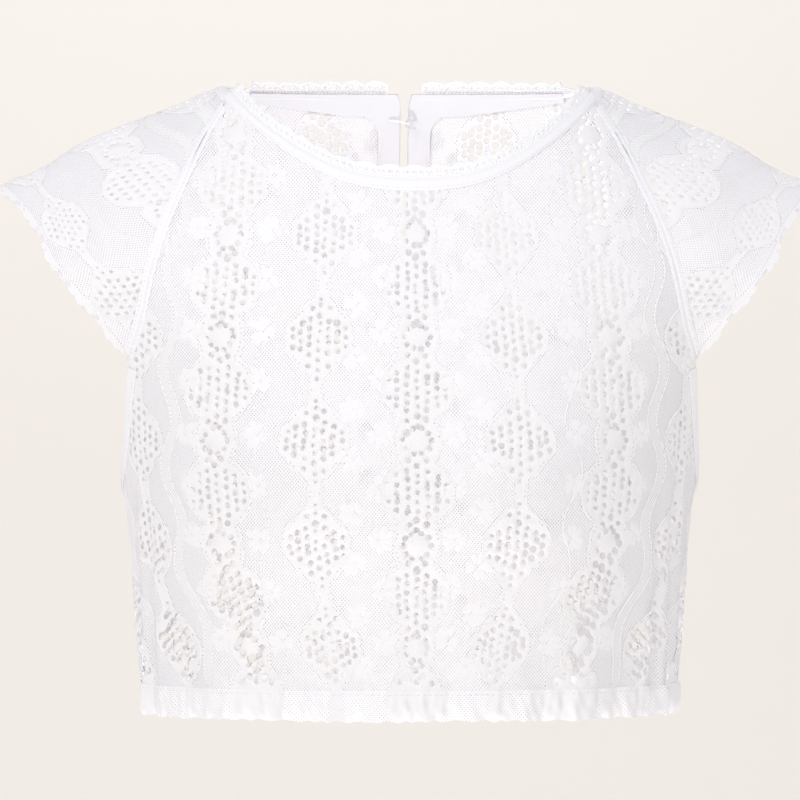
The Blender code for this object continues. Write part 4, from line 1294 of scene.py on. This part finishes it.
def stitch_row(line, normals, pitch, length, radius):
    """Points and faces of a row of small stitches along a line on the cloth."""
    run = run_along(line)
    angles = np.arange(STITCH_SIDES) * 2 * math.pi / STITCH_SIDES
    points, faces = [], []
    for at in np.arange(pitch / 2, run[-1] - length, pitch):
        where = at + np.array([part for part, _, _ in STITCH_PROFILE]) * length
        places, outs = read_line(line, run, where), read_line(normals, run, where)
        ahead = unit(places[-1] - places[0])
        faces += tube_faces(len(points), len(STITCH_PROFILE), STITCH_SIDES)
        for place, out, (_, thick, stand) in zip(places, outs, STITCH_PROFILE):
            side = unit(np.cross(ahead, out))
            for angle in angles:
                off = out * radius * (stand + thick * math.sin(angle))
                points.append(place + off + side * radius * thick * math.cos(angle))
    return points, faces


def sew(name, rows):
    """One piece of all the stitches of a seam."""
    points, faces = [], []
    for more_points, more_faces in rows:
        faces += [tuple(i + len(points) for i in f) for f in more_faces]
        points += more_points
    flat = np.array(points)[:, :2]
    wear(add_piece(name, points, faces, STITCHES, flat))


def raglan_rows(back, side):
    """Rows across a raglan tape, half on the body and half on the sleeve."""
    seam = even_steps(seam_line(back), 200)
    length = length_of(seam)
    rows = []
    for share in np.linspace((NECK_BAND + TAPE_START) / length, 0.985, 30):
        on_seam = along_curve(seam, share)
        z = on_seam[2]
        reach = np.linalg.norm(sleeve_cloth(share, 0.5) - on_seam) * 2 / 1.2
        turn = RAGLAN_TAPE / 2 / max(reach, 0.03)
        s_seam = round_to(on_seam[0], z, back)
        row = []
        for part in (1.0, 0.5):
            row.append(body_cloth(s_seam - part * RAGLAN_TAPE / 2, z - part * RAGLAN_TAPE * 0.25, back))
        row.append(on_seam)
        for part in (0.5, 1.0):
            row.append(sleeve_cloth(share, 1 - part * turn if back else part * turn))
        rows.append(np.array(row) * (side, 1, 1))
    return rows, length


for side_name, side in SIDES:
    for place, is_back in PLACES:
        part = f"{place}_{side_name}"
        rows, long = raglan_rows(is_back, side)
        center = (side * 0.06, 0.0, -0.12)
        tape, grid, out = laid_tape(f"raglan_seam_{part}", f"raglan_tape_{part}", rows, RAGLAN_TAPE, center)
        surface = grid + out * (TAPE_WALL / 2)
        sew(f"raglan_stitches_{part}", [
            stitch_row(surface[:, 1], out[:, 1], *SEAM_STITCH),
            stitch_row(surface[:, 5], out[:, 5], *SEAM_STITCH),
        ])


# Armhole bindings
# A flat binding closes the armhole under the arm, from one corner of the
# sleeve to the other, with a row of stitches by its inner edge.

BINDING = 0.0072
BINDING_LIFT = 0.0005


def binding_rows(side):
    """Rows across a binding, from the front corner of the sleeve to the back one."""
    widths = (0.0006, BINDING / 2, BINDING)
    rows = []
    for is_back, order in ((False, 1), (True, -1)):
        swing = np.sin(np.linspace(0, math.pi / 2, 14))
        z = SLEEVE_CORNER_Z - 0.003 + (RAGLAN[-1, 0] - SLEEVE_CORNER_Z + 0.003) * swing
        part = []
        for high in z:
            s = round_to(raglan_x(high), high, is_back)
            part.append([body_cloth(s - w, high - 0.35 * w, is_back) for w in widths])
        rows += part[::order]
        if not is_back:
            bottom = quarter_round(UNDERARM_Z, False)
            rows.append([body_cloth(bottom, UNDERARM_Z - w, False) for w in widths])
    return [np.array(row) * (side, 1, 1) for row in rows]


for side_name, side in SIDES:
    bound, grid, out = laid_tape(
        f"armhole_edge_{side_name}", f"armhole_binding_{side_name}",
        binding_rows(side), BINDING, (side * 0.06, 0.0, -0.19), BINDING_LIFT,
    )
    surface = grid + out * (TAPE_WALL / 2)
    sew(f"armhole_stitches_{side_name}", [stitch_row(surface[:, 5], out[:, 5], *SEAM_STITCH)])


# Neck band
# A smooth narrow strip under the neck edge, round the front and over both
# shoulders to the back seams.

NECK_MIDDLE = (0.0, 0.0, -0.12)
BAND_LIFT = 0.0004
BAND_CROWN = 0.0007


def neck_place(step, depth):
    """A point on the cloth, a distance below the neck edge."""
    kind, side, at = step
    if kind == "front":
        x = NECK_FRONT_HALF * math.sin(at * math.pi / 2)
        z = neck_z(x, False)
        lean = abs(at) ** 3
        s = round_to(x, z, False) + math.copysign(depth * 0.75 * lean, at)
        return body_cloth(s, z - depth * (1 - 0.45 * lean), False)
    if kind == "back":
        z = neck_z(at, True)
        return body_cloth(round_to(at, z, True), z - depth, True)
    return sleeve_cloth(depth / SLEEVE_LONG, at, side)


def neck_steps(front_count, side_count):
    """Places round the neck edge, from the right back seam over the front to the left one."""
    steps = [("sleeve", -1, t) for t in np.linspace(1, 0, side_count)[:-1]]
    steps += [("front", 0, share) for share in np.linspace(-1, 1, front_count)]
    return steps + [("sleeve", 1, t) for t in np.linspace(0, 1, side_count)[1:]]


band_rows = [[neck_place(step, d) for d in (0.0008, NECK_BAND / 2, NECK_BAND)] for step in neck_steps(61, 13)]
band, grid, out = laid_tape(
    "neck_strip", "neck_band", band_rows, NECK_BAND, NECK_MIDDLE, BAND_LIFT, 220, BAND_CROWN,
)
surface = grid + out * (TAPE_WALL / 2)
sew("neck_stitches", [stitch_row(surface[:, 5], out[:, 5], *FINE_STITCH)])


# Neck edging
# A narrow picot edging stands on the neck edge all round and ends on either
# side of the slit. Every scallop has an oval eyelet and a small picot.

EDGING_HEIGHT = 0.0072
EDGING_SCALLOP = 0.0020
EDGING_PITCH = 0.0125
# Eyelets on either side of a scallop's middle: away from it, up, half width and half height
EDGING_EYELETS = (
    (0.0034, 0.0031, 0.00090, 0.00078),
    (0.0049, 0.0021, 0.00058, 0.00052),
    (0.0012, 0.0055, 0.00038, 0.00040),
    (0.0029, 0.0049, 0.00038, 0.00040),
    (0.0044, 0.0038, 0.00036, 0.00036),
    (0.0010, 0.0008, 0.00064, 0.00050),
    (0.0031, 0.0008, 0.00064, 0.00050),
    (0.0052, 0.0007, 0.00064, 0.00048),
)
# The oval in a scallop's middle, and the eyelet between two scallops
EDGING_OVAL = (0.0032, 0.00150, 0.00100)
EDGING_BETWEEN = (0.0034, 0.0006, 0.0005)
EDGING_SPACING = 0.0030
EDGING_WALL = 0.0007
EDGING_END = 0.0095
EDGING_TURN_IN = 0.0035

edge_steps = [("back", 0, x) for x in np.linspace(-EDGING_END, -NECK_BACK_HALF, 26)[:-1]]
edge_steps += neck_steps(65, 17)
edge_steps += [("back", 0, -x) for x in np.linspace(-NECK_BACK_HALF, -EDGING_END, 26)[1:]]
edging_foot = np.array([neck_place(step, 0.0) for step in edge_steps])
edging_up = unit(edging_foot - np.array([neck_place(step, 0.004) for step in edge_steps]))
edging_run = run_along(edging_foot)
edging_long = edging_run[-1]
scallops = round(edging_long / EDGING_PITCH)
pitch = edging_long / scallops


def edging_place(flat, lift):
    """Points of the edging from places along it and up from the neck edge."""
    lines = (edging_foot, edging_up, np.gradient(edging_foot, axis=0))
    foot, up, ahead = (read_line(line, edging_run, flat[:, 0]) for line in lines)
    out = unit(np.cross(ahead, up))
    curl = 0.0006 * np.sin(flat[:, 0] * 2 * math.pi / 0.061) * (flat[:, 1] / EDGING_HEIGHT) ** 2
    under = -0.0011 * np.clip(-flat[:, 1] / 0.0012, 0, 1)
    return foot + up * flat[:, 1:2] + out * (lift + curl + under)[:, None]


EDGING_LACE = lace_material("white_picot_lace", 0.70, (0.872, 0.866, 0.884))


def edging_top(along):
    """How high the scallops and picots of the edging stand."""
    bow = np.abs(np.sin(math.pi * along / pitch)) ** 0.8
    picot = 0.0003 * np.abs(np.sin(7 * math.pi * along / pitch))
    return EDGING_HEIGHT - EDGING_SCALLOP * (1 - bow) + picot * bow


along = np.linspace(0, edging_long, scallops * 28 + 1)
top = np.stack([along, edging_top(along)], axis=1)[::-1]
foot = np.stack([along[::4], np.full_like(along[::4], -EDGING_TURN_IN)], axis=1)
eyelets = []
for i in range(scallops):
    middle = (i + 0.5) * pitch
    eyelets.append((middle, *EDGING_OVAL, 0.0))
    for off, up, wide, tall in EDGING_EYELETS:
        eyelets.append((middle - off, up, wide, tall, 0.0))
        eyelets.append((middle + off, up, wide, tall, 0.0))
    eyelets.append((i * pitch + 0.0001, *EDGING_BETWEEN, 0.0))
flat, height, faces = cut_lace(np.vstack([foot, top]), np.array(eyelets), np.zeros((0, 2)), EDGING_SPACING)
edging = add_piece(
    "neck_picot_edging", edging_place(flat, height), faces, EDGING_LACE, flat,
    {"dense": np.ones(len(flat))}, EDGING_WALL, NECK_MIDDLE,
)
wear(edging, "neck_edging")


# Back facings
# Smooth facings inside the back hold the edge of the slit and of the neck:
# tall beside the slit, narrow towards the shoulders, with a rounded corner.

FACING_TALL = 0.0120
FACING_NARROW = 0.0050
FACING_SLIT = 0.0130
FACING_ROUND = 0.0100
FACING_ENDS = (0.034, 0.084)
FACING_DROP = 0.00125
FACING_SPACING = 0.0035
SLIT_STITCH_IN = 0.0016

# Painted shade: the facings inside the back get darker colours than the other tapes, for the shade inside the
# blouse
FACING_CLOTH_SHADED = tape_material("facing_cloth_painted_shade", 1100.0, (0.735, 0.724, 0.760), (0.770, 0.758, 0.788))


def facing_outline():
    """The cut edge of the left facing, as rows of (s, z)."""
    edge_in = 0.0006
    x = np.linspace(FACING_ENDS[1], SLIT_TOP_HALF + edge_in, 60)
    top = np.stack([round_to(x, neck_z(x, True), True), neck_z(x, True) - edge_in], axis=1)
    z = np.linspace(-0.002, SLIT_BOTTOM_Z, 60)
    slit = np.stack([np.full_like(z, SLIT_HALF + edge_in), z], axis=1)
    inner = SLIT_HALF + FACING_SLIT
    corner = NECK_BACK_RISE - FACING_TALL
    z = np.linspace(SLIT_BOTTOM_Z + 0.015, corner - FACING_ROUND, 50)
    rise = np.stack([np.full_like(z, inner), z], axis=1)
    a = np.linspace(math.pi, math.pi / 2, 12)[1:]
    bend = np.stack([inner + FACING_ROUND * (1 + np.cos(a)), corner + FACING_ROUND * (np.sin(a) - 1)], axis=1)
    x = np.linspace(*FACING_ENDS, 40)
    share = (x - FACING_ENDS[0]) / (FACING_ENDS[1] - FACING_ENDS[0])
    low_z = neck_z(x, True) - FACING_TALL - (FACING_NARROW - FACING_TALL) * share
    low = np.stack([round_to(x, neck_z(x, True), True), low_z], axis=1)
    return np.vstack([top, slit, [(inner, SLIT_BOTTOM_Z)], rise, bend, low])


def plain_cloth(outline, spacing):
    """Triangles of a flat piece with no gaps."""
    fill = staggered(outline, spacing)
    fill = fill[inside(fill, outline) & (edge_distance(fill, outline) > spacing * 0.4)]
    points = np.vstack([outline, fill])
    edges = [(i, (i + 1) % len(outline)) for i in range(len(outline))]
    flat, _, faces, _, _, _ = delaunay_2d_cdt([Vector(p) for p in points], edges, [], 0, 1e-7)
    flat, faces = np.array([tuple(p) for p in flat]), np.array(faces)
    return flat, faces[inside(flat[faces].mean(axis=1), outline)]


facing_edge = facing_outline()
for side_name, side in SIDES:
    flat, faces = plain_cloth(facing_edge, FACING_SPACING)
    points = body_cloth(flat[:, 0] * side, flat[:, 1], True, np.full(len(flat), -FACING_DROP))
    facing = add_piece(
        f"slit_facing_{side_name}", points, faces, FACING_CLOTH_SHADED, flat, None, TAPE_WALL, (0.0, 0.0, -0.1),
    )
    wear(facing, f"back_facing_{side_name}")
    rows = []
    for s, top, lift, way in (
        (SLIT_HALF + FACING_SLIT - SLIT_STITCH_IN, -0.0150, -FACING_DROP - TAPE_WALL / 2, -1.0),
        (SLIT_HALF + SLIT_STITCH_IN, 0.0, LACE_WALL / 2, 1.0),
    ):
        z = np.linspace(SLIT_BOTTOM_Z, top, 40)
        line = body_cloth(np.full(40, s * side), z, True, np.full(40, lift))
        rows.append(stitch_row(line, np.tile((0.0, way, 0.0), (40, 1)), *FINE_STITCH))
    sew(f"slit_stitches_{side_name}", rows)


# Hem casing
# The lace turned up over a 15 mm elastic, which gathers it. The double cloth
# shows small uneven puckers and a row of stitches along its top.

CASING_WALL = 0.0009
CASING_LAP = 0.0007
CASING_COLUMNS = 661
CASING_ROWS = 9
HEM_MIDDLE = (0.0, 0.0, HEM_Z)
HEM_STITCH = (0.0030, 0.0021, 0.00024)
# Painted shade: the casing's filled colour is darker than the body lace's, for the shade of its gathers
GATHERED_LACE_SHADED = lace_material("gathered_lace_painted_shade", 0.95, (0.790, 0.779, 0.802))


def puckers(s, z):
    """Small uneven puckers of the gathered casing."""
    turn = s / quarter_round(HEM_Z, False)
    fine = np.sin(turn * 88 + 2.1 * np.sin(turn * 13.0)) * (0.6 + 0.4 * np.sin(turn * 31.0 + 1.0))
    up = (z - HEM_Z) / (CASING_TOP_Z - HEM_Z)
    lumps = np.sin(turn * 149 + 2.4 * np.sin(turn * 17.0) + 3.0 * up)
    lumps = lumps * np.sin(5.2 * up + 1.7 * np.sin(turn * 41.0))
    middle = np.clip(np.sin(math.pi * up), 0, 1)
    return (0.00100 * fine + 0.00065 * lumps) * (0.30 + 0.70 * middle) + 0.0008 * middle ** 0.6 + 0.0004


def uneven_edge(s):
    """How far the gathered edge of the hem rises and falls."""
    return 0.0005 * np.sin(s * 610.0 + 2.0 * np.sin(s * 130.0)) + 0.0003 * np.sin(s * 57.0)


for place, is_back in PLACES:
    reach = quarter_round(HEM_Z, is_back) - SEAM_GAP / 2
    casing_s = np.linspace(-reach, reach, CASING_COLUMNS)
    casing_z = HEM_Z + (CASING_TOP_Z + CASING_LAP - HEM_Z) * np.linspace(1, 0, CASING_ROWS)
    grid_s, grid_z = np.meshgrid(casing_s, casing_z, indexing="ij")
    scale = quarter_round(grid_z, is_back) / quarter_round(HEM_Z, is_back)
    folds = BACK_FOLDS if is_back else FRONT_FOLDS
    points = body_cloth(grid_s * scale, grid_z, is_back, puckers(grid_s, grid_z), folds)
    points[:, -1, 2] += uneven_edge(casing_s)
    points[:, -2, 2] += 0.6 * uneven_edge(casing_s)
    faces = grid_faces(CASING_COLUMNS, CASING_ROWS)
    flat = np.stack([grid_s * scale, grid_z], axis=-1).reshape(-1, 2)
    marks = body_marks(flat, 0.40 + 0.15 * dense_at(flat))
    casing = add_piece(
        f"hem_gather_{place}", points.reshape(-1, 3), faces, GATHERED_LACE_SHADED, flat,
        marks, CASING_WALL, HEM_MIDDLE,
    )
    wear(casing, f"hem_casing_{place}")
    out = outward(points, HEM_MIDDLE)
    surface = points + out * (CASING_WALL / 2)
    sew(f"hem_stitches_{place}", [stitch_row(surface[:, 1], out[:, 1], *HEM_STITCH)])


# Closure
# A small hook of white coated wire is sewn inside one side of the slit and
# catches a thread loop on the other, just under the neck edge.

HOOK_Z = -0.0120
HOOK_WIRE = 0.00045
LOOP_THREAD = 0.00055


def round_wire(name, route, radius, material, sides=10, twist=0.0):
    """A round wire or thread along a smooth route."""
    line = smooth_line(np.array(route, float), np.linspace(0, len(route) - 1, len(route) * 8))
    ahead = unit(np.gradient(line, axis=0))
    side = unit(np.cross(ahead, (0.0, 1.0, 0.0)))
    other = np.cross(ahead, side)
    points, flat = [], []
    for k in range(len(line)):
        grow = 1 + twist * math.sin(k * 2.4)
        for c in range(sides):
            a = 2 * math.pi * c / sides
            points.append(line[k] + radius * grow * (side[k] * math.cos(a) + other[k] * math.sin(a)))
            flat.append((k * 0.0003, c * 0.0002))
    return add_piece(name, points, tube_faces(0, len(line), sides), material, flat)


coated, coat_tree, coat_shader = add_material("white_coated_wire")
coat_spots = node(coat_tree, "ShaderNodeTexNoise", Scale=2500.0, Detail=2.0).outputs["Fac"]
coat_rough = ease(coat_tree, coat_spots, 0.3, 0.7, 0.25, 0.40)
coat_tree.links.new(coat_rough, coat_shader.inputs["Roughness"])
coat_colour = blend(coat_tree, coat_spots, (0.90, 0.90, 0.92), (0.95, 0.95, 0.96))
coat_tree.links.new(coat_colour, coat_shader.inputs["Base Color"])
coat_shader.inputs["Coat Weight"].default_value = 0.3

hook_y = float(body_cloth(0.0, HOOK_Z, True)[1]) - 0.0032
hook = round_wire("slit_hook", [
    (-0.0085, hook_y, HOOK_Z + 0.0016),
    (-0.0045, hook_y, HOOK_Z + 0.0012),
    (0.0010, hook_y, HOOK_Z + 0.0010),
    (0.0024, hook_y - 0.0006, HOOK_Z),
    (0.0024, hook_y - 0.0024, HOOK_Z),
    (0.0008, hook_y - 0.0030, HOOK_Z),
    (-0.0010, hook_y - 0.0030, HOOK_Z),
], HOOK_WIRE, coated)
wear(hook, "closure_hook")

loop_turn = np.linspace(-0.72 * math.pi, 0.72 * math.pi, 11)
loop_x = 0.0040 - 0.0034 * np.cos(loop_turn)
loop_z = HOOK_Z - 0.0002 + 0.0030 * np.sin(loop_turn)
loop_route = np.stack([loop_x, np.full(len(loop_turn), hook_y - 0.0015), loop_z], axis=1)
loop_route[[0, -1], :2] = (0.0062, hook_y - 0.0004)
loop = round_wire("slit_thread_loop", loop_route, LOOP_THREAD, STITCHES, 8, 0.18)
wear(loop, "closure_loop")


# Studio
# A plain pale floor and backdrop, soft light from all round, and the camera
# at the picture's angle.

FLOOR_Z = -1.15
FLOOR_HALF = 7.0
SWEEP_Y = 4.0
SWEEP_ROUND = 0.9
CAMERA_AWAY = 3.0
CAMERA_TURN = -2.0

# The floor runs up into the backdrop in a quarter round
sweep = [(-6.0, FLOOR_Z), (-1.0, FLOOR_Z), (SWEEP_Y, FLOOR_Z)]
for turn in range(1, 13):
    a = turn / 12 * math.pi / 2
    sweep.append((SWEEP_Y + SWEEP_ROUND * math.sin(a), FLOOR_Z + SWEEP_ROUND * (1 - math.cos(a))))
sweep.append((SWEEP_Y + SWEEP_ROUND, 4.0))
floor_points = [(x, y, z) for y, z in sweep for x in (-FLOOR_HALF, FLOOR_HALF)]
floor_mesh = bpy.data.meshes.new("floor")
floor_mesh.from_pydata(floor_points, [], grid_faces(len(sweep), 2))
floor_mesh.shade_smooth()
floor = bpy.data.objects.new("floor", floor_mesh)
bpy.context.scene.collection.objects.link(floor)
floor_material, _, floor_shader = add_material("pale_floor")
floor_shader.inputs["Base Color"].default_value = (0.925, 0.885, 0.845, 1)
floor_shader.inputs["Roughness"].default_value = 0.9
floor.data.materials.append(floor_material)

world = bpy.data.worlds.new("studio")
bpy.context.scene.world = world
world.use_nodes = True
sky = world.node_tree.nodes["Background"]
sky.inputs["Color"].default_value = (0.99, 0.99, 1.0, 1)
looking = node(world.node_tree, "ShaderNodeTexCoord")
apart = node(world.node_tree, "ShaderNodeSeparateXYZ", Vector=looking.outputs["Generated"])
strength = ease(world.node_tree, apart.outputs["Z"], 0.0, 0.9, 0.875, 0.67)
world.node_tree.links.new(strength, sky.inputs["Strength"])


def soft_light(name, place, aim, size, watts):
    """A large soft lamp at a place, turned to what it lights."""
    light = bpy.data.lights.new(name, "AREA")
    light.shape = "RECTANGLE"
    light.size, light.size_y = size
    light.energy = watts
    lamp = bpy.data.objects.new(name, light)
    lamp.location = place
    lamp.rotation_euler = (Vector(aim) - Vector(place)).to_track_quat("-Z", "Y").to_euler()
    bpy.context.scene.collection.objects.link(lamp)


soft_light("window_left", (-1.5, -2.1, 1.1), (0, 0, -0.15), (1.6, 1.6), 31.5)
soft_light("window_right", (1.8, -2.1, 0.6), (0, 0, -0.15), (1.6, 1.6), 13.5)
soft_light("lamp_below", (0.0, 0.0, -0.80), (0, 0.001, 0.0), (0.26, 0.18), 3.3)
soft_light("lamp_behind", (0.0, 3.5, 1.3), (0, 4.9, -0.3), (1.8, 0.8), 7.8)

eye = bpy.data.cameras.new("eye")
eye.sensor_width = 36
eye.lens = 255
camera = bpy.data.objects.new("eye", eye)
aim = Vector((-0.0048, 0.0, -0.1616))
swing = math.radians(CAMERA_TURN)
camera.location = aim + CAMERA_AWAY * Vector((math.sin(swing), -math.cos(swing), 0.0))
camera.rotation_euler = (aim - camera.location).to_track_quat("-Z", "Y").to_euler()
bpy.context.scene.collection.objects.link(camera)
bpy.context.scene.camera = camera
bpy.context.scene.view_settings.view_transform = "Standard"
bpy.context.scene.view_settings.look = "None"
